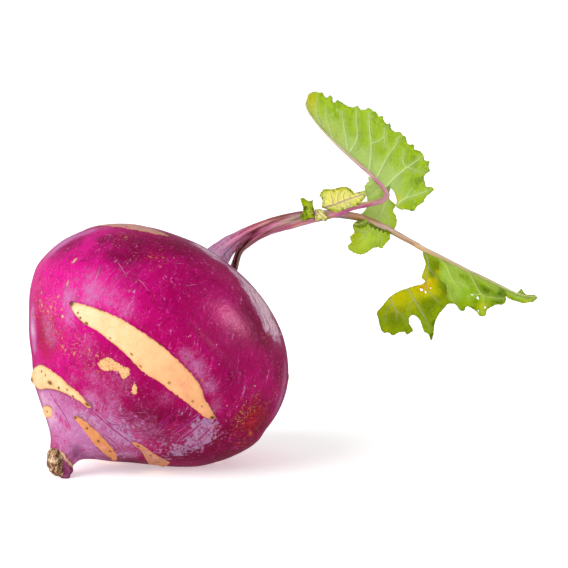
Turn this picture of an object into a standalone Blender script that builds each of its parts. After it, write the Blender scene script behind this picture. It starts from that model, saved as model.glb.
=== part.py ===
"""A purple kohlrabi as picked: the swollen stem, its cut root stub and two leaves.

Metres, +Z up. The plant is laid out in millimetres about the centre of the bulb, in a sheet-like plane that
leans back from the vertical: x runs to the right, y up along the plane and depth away from the viewer's side.
It is then seated so that the flat spot on the bulb's belly lies on the ground, centred on the origin.
"""

import math

import bmesh
import bpy
from mathutils import Matrix, Vector, geometry

MM = 0.001
LEAN = math.radians(6.0)  # how far the plane of the leaves leans back
GAP = 0.35  # clearance between pieces that touch, mm
CENTRE = Vector((0.0, 0.0, 0.0))

# Bulb: a flattened globe on an axis that runs from the root stub up to the crown.
AXIS_SLOPE = math.radians(52.0)  # slope of the axis within the plane of the leaves
AXIS_AWAY = math.radians(20.0)  # how far the crown end turns away from the viewer's side
BULB_RADIUS = 50.0
CROWN_HEIGHT = 36.8
CROWN_FULLNESS = 2.17  # superellipse power: 2 is an ellipse, more is squarer
NECK_END = -52.0
FLAT_SPOT_DEPTH = 1.4  # sliver missing from the belly where the bulb rests
BULB_RINGS_ON_CROWN = 11
BULB_SEGMENTS = 48
# (axial, radius) from the neck's end up to the widest ring
ROOT_PROFILE = [
    (NECK_END, 5.0), (-48.5, 6.7), (-45.0, 10.7), (-41.0, 16.4), (-37.0, 21.8), (-30.0, 30.0),
    (-22.0, 39.2), (-12.0, 46.6), (-5.0, 49.8), (0.0, BULB_RADIUS),
]
# (axial, sideways): the axis itself is slightly S-shaped
AXIS_DRIFT = [
    (-59.0, 2.6), (-56.0, 1.2), (-52.0, -0.4), (-46.0, -1.5), (-36.0, -1.3), (-25.0, 1.2),
    (-12.0, 1.1), (0.0, 0.2), (12.0, 1.0), (20.0, 1.7), (31.0, 3.2), (40.0, 3.8),
]

STUB_LENGTH = 5.6
STUB_RADIUS = 5.0
STUB_SEGMENTS = 16
STUB_PITH = 0.9  # how far the torn end is dished in the middle

GROOVE_FACING = math.radians(60.0)  # around a stalk, from its upper edge toward the viewer's side
GROOVE_DEPTH = 0.5  # share of the stalk's section at its base

BLADE_THICKNESS = 0.7
TOOTH_PITCH = 4.0
TOOTH_DEPTH = 1.1
RIPPLE = 0.7  # how far a blade's margin waves in and out
BLADE_PITCH = 3.2  # spacing of the points that fill a blade
LOBE_PITCH = 2.2

# Stalks and midribs: (x, y, depth, half width, half thickness), mm.
TALL_STALK = [
    (25.0, 21.0, 10.0, 1.7, 1.6), (27.6, 26.0, 12.6, 1.6, 1.5), (30.0, 33.1, 14.0, 1.5, 1.4),
    (33.2, 36.7, 14.0, 1.6, 1.5), (37.2, 39.6, 14.0, 2.0, 1.5), (42.3, 42.1, 14.0, 2.2, 1.5),
    (48.0, 44.0, 14.0, 2.3, 1.5), (53.5, 45.4, 14.0, 2.2, 1.5), (58.9, 46.1, 14.3, 1.7, 1.4),
    (65.4, 47.0, 14.8, 1.3, 1.2), (69.5, 48.8, 15.2, 1.2, 1.1), (73.7, 49.8, 15.7, 1.1, 1.0),
]
TALL_MIDRIB = [
    (74.1, 49.9, 15.8, 1.1, 1.0), (78.1, 50.7, 16.4, 1.05, 1.0), (81.6, 51.4, 17.0, 1.0, 1.0),
    (83.9, 53.2, 17.5, 0.95, 1.0), (83.4, 55.6, 17.8, 0.9, 0.95), (79.2, 60.3, 18.4, 0.85, 0.9),
    (73.5, 65.4, 19.2, 0.75, 0.85), (67.5, 70.8, 20.2, 0.7, 0.8), (60.7, 77.8, 21.6, 0.6, 0.7),
    (56.0, 83.9, 22.8, 0.5, 0.6), (54.6, 87.4, 23.4, 0.45, 0.5),
]
LONG_STALK = [
    (16.6, 22.0, 10.0, 5.0, 1.9), (20.1, 28.0, 13.2, 5.0, 1.9), (22.9, 31.7, 15.4, 4.4, 1.8),
    (26.5, 35.4, 16.8, 3.3, 1.7), (31.2, 38.9, 17.6, 2.3, 1.6), (36.4, 41.8, 18.2, 1.7, 1.5),
    (41.5, 44.0, 18.6, 1.4, 1.4), (47.0, 45.6, 18.8, 1.3, 1.3), (52.4, 46.6, 18.9, 1.3, 1.25),
    (58.9, 47.0, 18.8, 1.3, 1.2), (65.1, 46.9, 18.6, 1.35, 1.2), (69.6, 46.5, 18.5, 1.35, 1.15),
    (74.5, 45.6, 18.4, 1.35, 1.1), (78.3, 44.2, 18.3, 1.25, 1.1), (83.5, 41.9, 18.2, 1.15, 1.05),
    (90.4, 38.1, 18.1, 1.0, 1.0), (94.5, 35.9, 18.0, 0.95, 0.95),
]
LONG_MIDRIB = [
    (94.9, 35.6, 18.0, 0.95, 0.95), (97.3, 34.2, 18.0, 0.9, 0.9), (103.8, 31.1, 17.8, 0.8, 0.85),
    (109.4, 28.3, 17.5, 0.75, 0.8), (114.3, 25.9, 17.2, 0.7, 0.8), (120.4, 23.1, 16.8, 0.65, 0.75),
    (126.4, 20.1, 16.3, 0.6, 0.7), (130.1, 18.4, 16.0, 0.55, 0.65), (134.5, 17.2, 15.6, 0.5, 0.6),
    (138.4, 16.8, 15.2, 0.45, 0.5),
]

# Blade halves: margins (x, y) that close onto a stretch of the midrib, then how the half folds away from it.
TALL_FRONT_MARGIN = [
    (54.2, 88.6), (56.0, 91.0), (60.5, 91.5), (62.0, 89.4), (66.0, 88.4), (72.0, 86.5), (78.0, 85.0),
    (82.5, 82.0), (85.5, 78.0), (89.5, 76.0), (92.2, 72.4), (96.0, 69.8), (98.6, 66.2), (99.4, 62.5),
    (97.4, 60.6), (98.0, 57.0), (100.5, 55.5), (97.4, 51.6), (93.2, 47.9), (89.2, 48.4), (87.3, 50.0),
    (87.6, 53.4), (85.2, 56.6),
]
TALL_BACK_MARGIN = [
    (57.0, 86.5), (62.0, 87.0), (69.0, 83.5), (76.0, 81.0), (82.0, 76.0), (87.0, 70.5), (91.0, 65.0),
    (90.0, 60.0), (85.6, 57.0), (84.9, 53.0), (87.2, 50.4), (87.3, 46.7), (87.6, 42.5), (85.6, 38.6),
    (82.6, 34.8), (78.6, 33.6), (75.0, 32.7), (71.2, 33.5), (70.2, 35.4), (71.3, 38.6), (72.0, 42.5),
    (73.2, 45.6), (76.6, 48.8), (76.7, 53.0), (76.1, 57.4), (77.4, 59.4),
]
LONG_FRONT_MARGIN = [
    (137.2, 15.6), (133.5, 14.4), (129.5, 15.6), (127.2, 16.0), (126.6, 14.2), (122.2, 13.0),
    (119.8, 9.8), (117.2, 9.8), (113.3, 13.2), (110.8, 11.8), (107.6, 15.0), (105.6, 16.0),
    (105.4, 21.5), (103.5, 24.1), (103.1, 28.0), (101.4, 31.0),
]
LONG_BACK_MARGIN = [
    (133.0, 17.4), (128.0, 17.2), (121.0, 14.8), (114.0, 15.0), (108.0, 15.2), (103.9, 11.6),
    (101.8, 6.5), (101.0, 0.4), (97.8, 5.2), (94.2, 10.4), (92.6, 7.4), (93.2, 3.6), (86.6, 2.6),
    (82.4, 3.6), (80.7, 9.5), (83.0, 14.0), (86.2, 17.8), (91.0, 20.2), (97.4, 22.2), (96.4, 24.8),
    (97.6, 29.0),
]

# Small lobes that grow on the stalks: depth of the lobe, slope of that depth along y, outline (x, y).
STALK_LOBES = {
    "stalk_lobe_lower": (11.7, -0.10, [
        (52.2, 52.8), (55.0, 52.2), (57.0, 52.0), (57.5, 48.0), (57.4, 45.0), (55.4, 45.4), (53.8, 44.0),
        (52.0, 45.2), (53.2, 47.4), (53.5, 50.2),
    ]),
    "stalk_lobe_middle": (11.5, 0.0, [
        (58.3, 48.2), (60.4, 48.4), (62.0, 46.6), (62.1, 44.4), (60.4, 44.0), (58.4, 45.4),
    ]),
    "stalk_lobe_upper": (11.2, -0.15, [
        (59.2, 54.0), (62.4, 55.8), (68.0, 56.5), (71.5, 55.0), (76.2, 54.8), (75.4, 51.8), (71.0, 49.2),
        (66.0, 47.4), (63.8, 47.6), (62.6, 49.2), (60.4, 49.8),
    ]),
    "stalk_lobe_outer": (16.1, 0.05, [
        (71.2, 42.4), (72.4, 44.2), (76.2, 45.4), (77.2, 44.0), (75.4, 41.6), (72.8, 41.8),
    ]),
}

SKIN_PURPLE = (0.42, 0.02, 0.19)
WOOD_BROWN = (0.33, 0.25, 0.15)
STALK_MAUVE = (0.38, 0.12, 0.22)
LEAF_GREEN = (0.36, 0.52, 0.08)
LOBE_YELLOW = (0.66, 0.72, 0.16)


# Frames -----------------------------------------------------------------------------------------------------------

RIGHT = Vector((1.0, 0.0, 0.0))
UP = Vector((0.0, math.sin(LEAN), math.cos(LEAN)))
FRONT = Vector((0.0, -math.cos(LEAN), math.sin(LEAN)))


def laid(x, y, depth):
    """A point of the layout plane as a vector about the bulb's centre, mm."""
    return RIGHT * x + UP * y - FRONT * depth


def bulb_frame():
    """Rotation whose Z is the bulb's axis, root to crown, and whose X faces the viewer's side."""
    in_plane = RIGHT * math.cos(AXIS_SLOPE) + UP * math.sin(AXIS_SLOPE)
    axis = in_plane * math.cos(AXIS_AWAY) - FRONT * math.sin(AXIS_AWAY)
    facing = in_plane * math.sin(AXIS_AWAY) + FRONT * math.cos(AXIS_AWAY)
    return Matrix((facing, axis.cross(facing), axis)).transposed()


BULB_FRAME = bulb_frame()


# Curves -----------------------------------------------------------------------------------------------------------

def smooth_path(points, steps, closed=False):
    """Catmull-Rom curve through points of any dimension, with steps pieces between neighbours."""
    points = [Vector(p) for p in points]
    count = len(points)
    spans = count if closed else count - 1
    path = []
    for i in range(spans):
        if closed:
            a, b, c, d = (points[(i + k) % count] for k in (-1, 0, 1, 2))
        else:
            a, b, c, d = (points[min(max(i + k, 0), count - 1)] for k in (-1, 0, 1, 2))
        for j in range(steps):
            t = j / steps
            path.append(0.5 * (
                2 * b + (c - a) * t + (2 * a - 5 * b + 4 * c - d) * t * t + (3 * b - a - 3 * c + d) * t ** 3
            ))
    if not closed:
        path.append(points[-1])
    return path


def read_off(table, at):
    """Value of a smooth (position, value) table at a position."""
    path = smooth_path(table, 6)
    for low, high in zip(path, path[1:]):
        if at <= high[0]:
            share = max(0.0, (at - low[0]) / max(high[0] - low[0], 1e-9))
            return low[1] + (high[1] - low[1]) * share
    return path[-1][1]


# Bulb -------------------------------------------------------------------------------------------------------------

def bulb_rings():
    """(axial, radius) of every ring of the bulb, from the neck's end to just below the crown's middle."""
    rings = [(p[0], p[1]) for p in smooth_path(ROOT_PROFILE, 2)]
    for i in range(1, BULB_RINGS_ON_CROWN):
        turn = 0.5 * math.pi * i / BULB_RINGS_ON_CROWN
        rings.append((
            CROWN_HEIGHT * math.sin(turn) ** (2 / CROWN_FULLNESS),
            BULB_RADIUS * math.cos(turn) ** (2 / CROWN_FULLNESS),
        ))
    return rings


def swelling(axial, angle):
    """Share by which the skin bulges in or out: soft lumps between the leaf scars, none at the neck."""
    fade = min(1.0, max(0.0, (axial - NECK_END) / 25.0))
    lumps = 0.012 * math.sin(2 * angle + 0.02 * axial) + 0.012 * math.cos(3 * angle) + 0.006 * math.cos(5 * angle)
    return 1.0 + fade * lumps


def axis_point(axial, radius, angle):
    """Point at a height along, distance from and angle about the bulb's axis, mm."""
    sideways = read_off(AXIS_DRIFT, axial)
    return BULB_FRAME @ Vector((radius * math.cos(angle), radius * math.sin(angle) + sideways, axial))


def bulb_point(axial, radius, angle):
    """Skin point about the bulb's centre, mm."""
    return axis_point(axial, radius * swelling(axial, angle), angle)


def bulb_body(clearance=0.0):
    """Closed bmesh of the bulb; clearance swells it, for cutting what stands on it."""
    bm = bmesh.new()
    loops = []
    for axial, radius in bulb_rings():
        grown = axial * (1 + clearance / CROWN_HEIGHT)
        turns = [math.tau * k / BULB_SEGMENTS for k in range(BULB_SEGMENTS)]
        loops.append([bm.verts.new(bulb_point(grown, radius + clearance, a) * MM) for a in turns])
    for low, high in zip(loops, loops[1:]):
        for k in range(BULB_SEGMENTS):
            after = (k + 1) % BULB_SEGMENTS
            bm.faces.new((low[k], low[after], high[after], high[k]))
    bm.faces.new(list(reversed(loops[0])))
    top = bm.verts.new(bulb_point(CROWN_HEIGHT + clearance, 0.0, 0.0) * MM)
    for k in range(BULB_SEGMENTS):
        bm.faces.new((loops[-1][k], loops[-1][(k + 1) % BULB_SEGMENTS], top))
    return bm


def cut_at_ground(bm, ground):
    """Slices off what would reach under the ground and closes the slice with one flat face."""
    found = bmesh.ops.bisect_plane(
        bm, geom=bm.verts[:] + bm.edges[:] + bm.faces[:], dist=1e-7,
        plane_co=(0.0, 0.0, ground), plane_no=(0.0, 0.0, 1.0), clear_inner=True,
    )
    rim = [e for e in found["geom_cut"] if isinstance(e, bmesh.types.BMEdge)]
    return bmesh.ops.holes_fill(bm, edges=rim)["faces"] if rim else []


def find_seat():
    """Where the bulb's centre stands when the belly's flat spot is on the ground, under the origin."""
    bm = bulb_body()
    ground = min(v.co.z for v in bm.verts) + FLAT_SPOT_DEPTH * MM
    spot = cut_at_ground(bm, ground)[0].calc_center_median_weighted()
    bm.free()
    return Vector((-spot.x, -spot.y, -ground))


# Builders ---------------------------------------------------------------------------------------------------------

def material(name, colour, roughness):
    made = bpy.data.materials.new(name)
    made.use_nodes = True
    shader = made.node_tree.nodes["Principled BSDF"]
    shader.inputs["Base Color"].default_value = (*colour, 1.0)
    shader.inputs["Roughness"].default_value = roughness
    shader.inputs["Metallic"].default_value = 0.0
    return made


def placed(name, bm, plant, finish, smooth=True):
    """Makes the object of a finished bmesh, parented to the plant."""
    bmesh.ops.recalc_face_normals(bm, faces=bm.faces)
    mesh = bpy.data.meshes.new(name)
    bm.to_mesh(mesh)
    bm.free()
    if smooth:
        mesh.shade_smooth()
    mesh.materials.append(finish)
    obj = bpy.data.objects.new(name, mesh)
    bpy.context.scene.collection.objects.link(obj)
    obj.parent = plant
    return obj


def helper(obj):
    """Hides a cutter or a shape that is joined into another."""
    obj.hide_render = True
    obj.display_type = "WIRE"
    return obj


def boolean(obj, other, operation):
    modifier = obj.modifiers.new(f"{operation.lower()}_{other.name}", "BOOLEAN")
    modifier.object = other
    modifier.operation = operation
    modifier.solver = "EXACT"
    return obj


def swept(route, sides=10, steps=2, groove=0.0):
    """Closed tube along a route of (x, y, depth, half width, half thickness), wide within the layout plane.

    A groove runs along its upper near side, deepest at the start of the route.
    """
    path = smooth_path(route, steps)
    centres = [laid(p[0], p[1], p[2]) for p in path]
    bm = bmesh.new()
    rings = []
    for i, centre in enumerate(centres):
        along = (centres[min(i + 1, len(centres) - 1)] - centres[max(i - 1, 0)]).normalized()
        across = FRONT.cross(along).normalized()
        out = along.cross(across)
        half_width, half_thickness = path[i][3], path[i][4]
        ring = []
        for k in range(sides):
            turn = math.tau * k / sides
            dent = groove * (1 - i / len(centres)) * math.exp(-((turn - GROOVE_FACING) / 0.45) ** 2)
            offset = across * (half_width * math.cos(turn)) + out * (half_thickness * math.sin(turn))
            ring.append(bm.verts.new((centre + offset * (1 - dent)) * MM))
        rings.append(ring)
    for low, high in zip(rings, rings[1:]):
        for k in range(sides):
            bm.faces.new((low[k], low[(k + 1) % sides], high[(k + 1) % sides], high[k]))
    bm.faces.new(list(reversed(rings[0])))
    bm.faces.new(rings[-1])
    return bm


def toothed(margin, pitch, depth):
    """Smooth margin, walked clockwise, with rounded teeth cut into it: points four to a tooth."""
    path = smooth_path(margin, 6)
    travelled, gone, points = 0.0, 0.0, []
    for a, b in zip(path, path[1:]):
        run = b - a
        while gone <= travelled + run.length:
            outward = Vector((-run.y, run.x)).normalized()
            bite = depth * (1 - abs(math.sin(math.pi * gone / pitch + 0.3 * math.sin(0.9 * gone / pitch))))
            points.append(a + run * ((gone - travelled) / run.length) - outward * bite)
            gone += pitch / 4
        travelled += run.length
    return points


def inside(point, outline):
    """Even-odd test of a 2-D point."""
    hit = False
    for a, b in zip(outline, outline[1:] + outline[:1]):
        if (a.y > point.y) != (b.y > point.y):
            hit ^= point.x < a.x + (b.x - a.x) * (point.y - a.y) / (b.y - a.y)
    return hit


def filling(outline, pitch):
    """Points of a staggered grid that lie inside the outline and clear of it."""
    low = Vector((min(p.x for p in outline), min(p.y for p in outline)))
    high = Vector((max(p.x for p in outline), max(p.y for p in outline)))
    rows = int((high.y - low.y) / (0.866 * pitch)) + 1
    columns = int((high.x - low.x) / pitch) + 2
    points = []
    for row in range(rows):
        for column in range(columns):
            p = low + Vector(((column + 0.5 * (row % 2)) * pitch, 0.866 * row * pitch))
            clear = all(
                (geometry.intersect_point_line(p, a, b)[0].xy - p).length > 0.45 * pitch
                or not 0 <= geometry.intersect_point_line(p, a, b)[1] <= 1
                for a, b in zip(outline, outline[1:] + outline[:1])
            )
            if clear and inside(p, outline):
                points.append(p)
    return points


def sheet(outline, depth, pitch):
    """Closed thin body: the outline filled with triangles, laid at depth(x, y), with the blade's thickness."""
    points = outline + filling(outline, pitch)
    border = [(i, (i + 1) % len(outline)) for i in range(len(outline))]
    points, _, faces, *_ = geometry.delaunay_2d_cdt(points, border, [], 1, 1e-4)
    bm = bmesh.new()
    sides = []
    for offset in (-0.5 * BLADE_THICKNESS, 0.5 * BLADE_THICKNESS):
        sides.append([bm.verts.new(laid(p.x, p.y, depth(p.x, p.y) + offset) * MM) for p in points])
    near, far = sides
    edge_use = {}
    for face in faces:
        bm.faces.new([near[i] for i in face])
        bm.faces.new([far[i] for i in reversed(face)])
        for a, b in zip(face, face[1:] + face[:1]):
            edge_use[(a, b)] = True
    for a, b in edge_use:
        if (b, a) not in edge_use:
            bm.faces.new((near[b], near[a], far[a], far[b]))
    return bm


def folded(rib, fold, curl):
    """Depth of a blade half: that of the rib it grows from, plus fold and curl by distance from it."""

    def depth(x, y):
        best, found = 1e9, 0.0
        for a, b in zip(rib, rib[1:]):
            run = (b - a).xy
            share = min(1.0, max(0.0, Vector((x - a.x, y - a.y)).dot(run) / run.length_squared))
            gap = math.hypot(x - a.x - run.x * share, y - a.y - run.y * share)
            if gap < best:
                best, found = gap, a.z + (b.z - a.z) * share
        wave = RIPPLE * math.sin(0.42 * (x + 0.6 * y)) * min(1.0, best / 14) ** 2
        return found + fold * best + curl * best * best + wave

    return depth


def blade_half(midrib, margin, first, fold, curl):
    """One half of a leaf blade: it grows from the midrib's point number first, and on to the tip."""
    rib = [Vector(p[:3]) for p in midrib[first:]]
    rim = toothed(margin, TOOTH_PITCH, TOOTH_DEPTH)
    return sheet([p.xy for p in rib] + rim, folded(rib, fold, curl), BLADE_PITCH)


# Pieces -----------------------------------------------------------------------------------------------------------

def make_bulb(plant, seat, finish):
    bm = bulb_body()
    cut_at_ground(bm, -seat.z)
    return placed("bulb", bm, plant, finish)


def make_root_stub(plant, seat, finish):
    """Woody end of the root, snapped off a little past the neck, its torn face dished at the pith."""
    bm = bmesh.new()
    start = NECK_END - GAP
    rings = []
    for share, width in ((0.0, 0.98), (0.3, 1.03), (0.65, 1.0), (0.92, 0.9), (1.0, 0.72), (1 - STUB_PITH / STUB_LENGTH, 0.3)):
        ring = []
        for k in range(STUB_SEGMENTS):
            angle = math.tau * k / STUB_SEGMENTS
            knob = 1 + 0.06 * math.cos(3 * angle + 4 * share) + 0.03 * math.sin(7 * angle)
            axial = start - STUB_LENGTH * share * (1 + 0.05 * math.sin(2 * angle + 1))
            ring.append(bm.verts.new(axis_point(axial, STUB_RADIUS * width * knob, angle) * MM))
        rings.append(ring)
    for low, high in zip(rings, rings[1:]):
        for k in range(STUB_SEGMENTS):
            after = (k + 1) % STUB_SEGMENTS
            bm.faces.new((low[k], low[after], high[after], high[k]))
    bm.faces.new(rings[0])
    bm.faces.new(list(reversed(rings[-1])))
    bmesh.ops.recalc_face_normals(bm, faces=bm.faces)
    cut_at_ground(bm, -seat.z)
    return placed("root_stub", bm, plant, finish)


def make_stalk(name, route, groove, plant, clearance_bulb, finish):
    """Leaf stalk that starts on the bulb's crown."""
    return boolean(placed(name, swept(route, 12, 2, groove), plant, finish), clearance_bulb, "DIFFERENCE")


def make_blade(name, midrib, halves, plant, finish):
    """Leaf blade: its midrib with both halves joined to it."""
    blade = placed(name, swept(midrib, sides=8), plant, finish)
    for side, (margin, first, fold, curl) in halves.items():
        half = helper(placed(f"{name}_{side}", blade_half(midrib, margin, first, fold, curl), plant, finish))
        boolean(blade, half, "UNION")
    return blade


def make_stalk_lobe(name, plant, finish):
    depth, slope, outline = STALK_LOBES[name]
    rim = [Vector((p[0], p[1])) for p in smooth_path(outline, 1, closed=True)]
    base = min(p.y for p in rim)
    return placed(name, sheet(rim, lambda x, y: depth + slope * (y - base), LOBE_PITCH), plant, finish)


def main():
    for obj in list(bpy.data.objects):
        bpy.data.objects.remove(obj)
    skin = material("purple_skin", SKIN_PURPLE, 0.35)
    wood = material("root_wood", WOOD_BROWN, 0.85)
    stalk = material("leaf_stalk", STALK_MAUVE, 0.45)
    leaf = material("leaf_green", LEAF_GREEN, 0.55)
    pale = material("leaf_yellow", LOBE_YELLOW, 0.55)

    seat = find_seat()
    plant = bpy.data.objects.new("plant", None)
    bpy.context.scene.collection.objects.link(plant)
    plant.location = seat

    clearance_bulb = helper(placed("clearance_bulb", bulb_body(GAP), plant, skin))
    make_bulb(plant, seat, skin)
    make_root_stub(plant, seat, wood)
    make_stalk("tall_leaf_stalk", TALL_STALK, GROOVE_DEPTH, plant, clearance_bulb, stalk)
    make_stalk("long_leaf_stalk", LONG_STALK, 0.0, plant, clearance_bulb, stalk)
    make_blade("tall_leaf_blade", TALL_MIDRIB, {
        "front": (TALL_FRONT_MARGIN, 4, -0.30, 0.003),
        "back": (TALL_BACK_MARGIN, 5, 0.36, 0.0),
    }, plant, leaf)
    make_blade("long_leaf_blade", LONG_MIDRIB, {
        "front": (LONG_FRONT_MARGIN, 1, -0.35, 0.004),
        "back": (LONG_BACK_MARGIN, 1, 0.35, 0.0),
    }, plant, leaf)
    for name in STALK_LOBES:
        make_stalk_lobe(name, plant, pale if name in ("stalk_lobe_middle", "stalk_lobe_upper") else leaf)


main()
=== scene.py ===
import math

import bpy
import numpy as np
from mathutils import Matrix, Vector, geometry


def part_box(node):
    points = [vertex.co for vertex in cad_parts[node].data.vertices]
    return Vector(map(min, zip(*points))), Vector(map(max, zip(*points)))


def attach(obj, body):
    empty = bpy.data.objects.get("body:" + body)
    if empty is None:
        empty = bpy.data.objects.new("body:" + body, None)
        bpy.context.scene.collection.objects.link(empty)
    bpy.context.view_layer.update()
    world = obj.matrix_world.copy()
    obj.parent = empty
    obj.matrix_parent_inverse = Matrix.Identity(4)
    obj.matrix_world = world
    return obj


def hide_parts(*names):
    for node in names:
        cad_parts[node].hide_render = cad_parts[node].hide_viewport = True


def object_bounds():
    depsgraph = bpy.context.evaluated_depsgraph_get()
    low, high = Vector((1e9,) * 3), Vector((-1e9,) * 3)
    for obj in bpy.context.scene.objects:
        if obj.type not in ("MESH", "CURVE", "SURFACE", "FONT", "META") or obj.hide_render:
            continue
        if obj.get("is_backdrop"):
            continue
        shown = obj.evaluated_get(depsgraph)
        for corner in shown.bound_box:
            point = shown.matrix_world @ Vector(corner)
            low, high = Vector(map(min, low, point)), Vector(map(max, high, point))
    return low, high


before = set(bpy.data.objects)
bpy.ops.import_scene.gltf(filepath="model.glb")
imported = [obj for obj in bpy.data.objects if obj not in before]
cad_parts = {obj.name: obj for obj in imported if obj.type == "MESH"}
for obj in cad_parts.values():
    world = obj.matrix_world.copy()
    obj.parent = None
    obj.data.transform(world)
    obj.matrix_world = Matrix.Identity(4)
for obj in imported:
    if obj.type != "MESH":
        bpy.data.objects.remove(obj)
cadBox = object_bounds()
print("frame loaded,", len(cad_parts), "nodes")

mm = 0.001

# The plant is laid out in millimetres about the middle of the bulb: x right, y up the leaves' plane, depth away.
plantPose = {
    "lean": 6.0,        # how far the leaves' plane leans back, degrees
    "axisSlope": 52.0,  # slope of the bulb's axis in that plane
    "axisAway": 20.0,   # how far its crown end turns away
}
lean = math.radians(plantPose["lean"])
rightWay = np.array((1.0, 0.0, 0.0))
upWay = np.array((0.0, math.sin(lean), math.cos(lean)))
frontWay = np.array((0.0, -math.cos(lean), math.sin(lean)))


def laid(x, y, depth):
    # points of the layout plane about the bulb's middle
    return np.multiply.outer(x, rightWay) + np.multiply.outer(y, upWay) - np.multiply.outer(depth, frontWay)


def bulbTurn():
    # columns: the way that faces the viewer's side, the way across, the axis from root to crown
    slope, away = math.radians(plantPose["axisSlope"]), math.radians(plantPose["axisAway"])
    inPlane = rightWay * math.cos(slope) + upWay * math.sin(slope)
    axis = inPlane * math.cos(away) - frontWay * math.sin(away)
    facing = inPlane * math.sin(away) + frontWay * math.cos(away)
    return np.array((facing, np.cross(axis, facing), axis)).T


turned = bulbTurn()


# Curves and meshes

def smoothPath(points, steps, closed=False):
    # Catmull-Rom curve through points of any size
    points = np.array(points, float)
    count = len(points)
    spans = np.arange(count if closed else count - 1)

    def pick(shift):
        return points[(spans + shift) % count if closed else np.clip(spans + shift, 0, count - 1)]

    share = (np.arange(steps) / steps)[None, :, None]
    a, b, c, d = (pick(shift)[:, None, :] for shift in (-1, 0, 1, 2))
    path = 0.5 * (
        2 * b + (c - a) * share + (2 * a - 5 * b + 4 * c - d) * share ** 2 + (3 * b - a - 3 * c + d) * share ** 3)
    path = path.reshape(-1, points.shape[1])
    return path if closed else np.vstack([path, points[-1:]])


def readOff(table, at):
    # a smooth table of (place, value) pairs, read at any place
    path = smoothPath(table, 6)
    return np.interp(at, path[:, 0], path[:, 1])


def closedUp(path):
    return np.vstack([path, path[:1]])


def lengthAlong(path):
    # how far along a path each of its points lies
    return np.r_[0.0, np.cumsum(np.linalg.norm(np.diff(path, axis=0), axis=1))]


def unit(vectors):
    return vectors / np.linalg.norm(vectors, axis=-1, keepdims=True)


def nearestOn(path, points):
    # distance of each point from a path, and where on the path that is (index and share)
    best, at = np.full(len(points), 1e9), np.zeros(len(points))
    for i in range(len(path) - 1):
        run = path[i + 1] - path[i]
        share = np.clip((points - path[i]) @ run / max(run @ run, 1e-12), 0.0, 1.0)
        gap = np.linalg.norm(points - path[i] - share[:, None] * run, axis=1)
        nearer = gap < best
        best[nearer], at[nearer] = gap[nearer], i + share[nearer]
    return best, at


def insideOf(outline, points):
    hit = np.zeros(len(points), bool)
    for a, b in zip(outline, np.roll(outline, -1, axis=0)):
        if a[1] == b[1]:
            continue
        spans = (a[1] > points[:, 1]) != (b[1] > points[:, 1])
        hit ^= spans & (points[:, 0] < a[0] + (b[0] - a[0]) * (points[:, 1] - a[1]) / (b[1] - a[1]))
    return hit


def ringFaces(rings, sides):
    # quads between closed rings of points
    start = np.arange(rings - 1)[:, None] * sides + np.arange(sides)
    after = np.arange(rings - 1)[:, None] * sides + (np.arange(sides) + 1) % sides
    return np.stack([start, after, after + sides, start + sides], -1).reshape(-1, 4).tolist()


def ease(value, low, high):
    share = np.clip((value - low) / (high - low), 0.0, 1.0)
    return share * share * (3 - 2 * share)


def ripples(places, scale, seed):
    # soft bumps in -1 to 1 over points of any size, the same each run
    draw = np.random.default_rng(seed)
    total = np.zeros(len(places))
    for _ in range(9):
        way = draw.normal(size=places.shape[1])
        way *= scale * draw.uniform(0.6, 1.5) / np.linalg.norm(way)
        total += np.sin(places @ way + draw.uniform(0, math.tau))
    return total / 4.0


class Stock:
    # gathers the points, faces and painted fields of one piece

    def __init__(self):
        self.points, self.faces, self.finish, self.fields, self.count = [], [], [], [], 0

    def add(self, points, faces, finish=0, **fields):
        self.points.append(points)
        self.faces += [tuple(int(v) + self.count for v in face) for face in faces]
        self.finish += [finish] * len(faces)
        self.fields.append((len(points), fields))
        self.count += len(points)

    def paint(self, mesh, field):
        # stores one field on the mesh's points, with nothing where a part of the piece has no such field
        wide = next(np.ndim(fields[field]) for _, fields in self.fields if field in fields) == 2
        parts = [fields.get(field, np.zeros((count, 3) if wide else count)) for count, fields in self.fields]
        layer = mesh.attributes.new(field, "FLOAT_VECTOR" if wide else "FLOAT", "POINT")
        layer.data.foreach_set("vector" if wide else "value", np.concatenate(parts).astype(np.float32).ravel())

    def make(self, name, finishes, node, slotName):
        mesh = bpy.data.meshes.new(name)
        points = np.vstack(self.points) * mm + np.array(seat)
        points[:, 2] = np.maximum(points[:, 2], 0.0)  # nothing reaches under the ground it rests on
        mesh.from_pydata(points.tolist(), [], self.faces)
        mesh.polygons.foreach_set("material_index", self.finish)
        for field in sorted({key for _, fields in self.fields for key in fields}):
            self.paint(mesh, field)
        mesh.shade_smooth()
        mesh.update()
        for finish in finishes:
            mesh.materials.append(finish)
        piece = bpy.data.objects.new(name, mesh)
        bpy.context.scene.collection.objects.link(piece)
        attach(piece, "root")
        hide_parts(node)
        print("made", name, len(mesh.polygons), "faces")


# Material nodes

def tone(code):
    # a screen colour such as "a04060" as linear light
    parts = [int(code[i:i + 2], 16) / 255 for i in (0, 2, 4)]
    return tuple(v / 12.92 if v <= 0.04045 else ((v + 0.055) / 1.055) ** 2.4 for v in parts) + (1.0,)


def plug(tree, socket, value):
    if isinstance(value, Wire):
        tree.links.new(value.socket, socket)
    else:
        socket.default_value = value


def named(sockets, key):
    return sockets[key] if isinstance(key, int) else next(s for s in sockets if key in (s.identifier, s.name))


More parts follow.
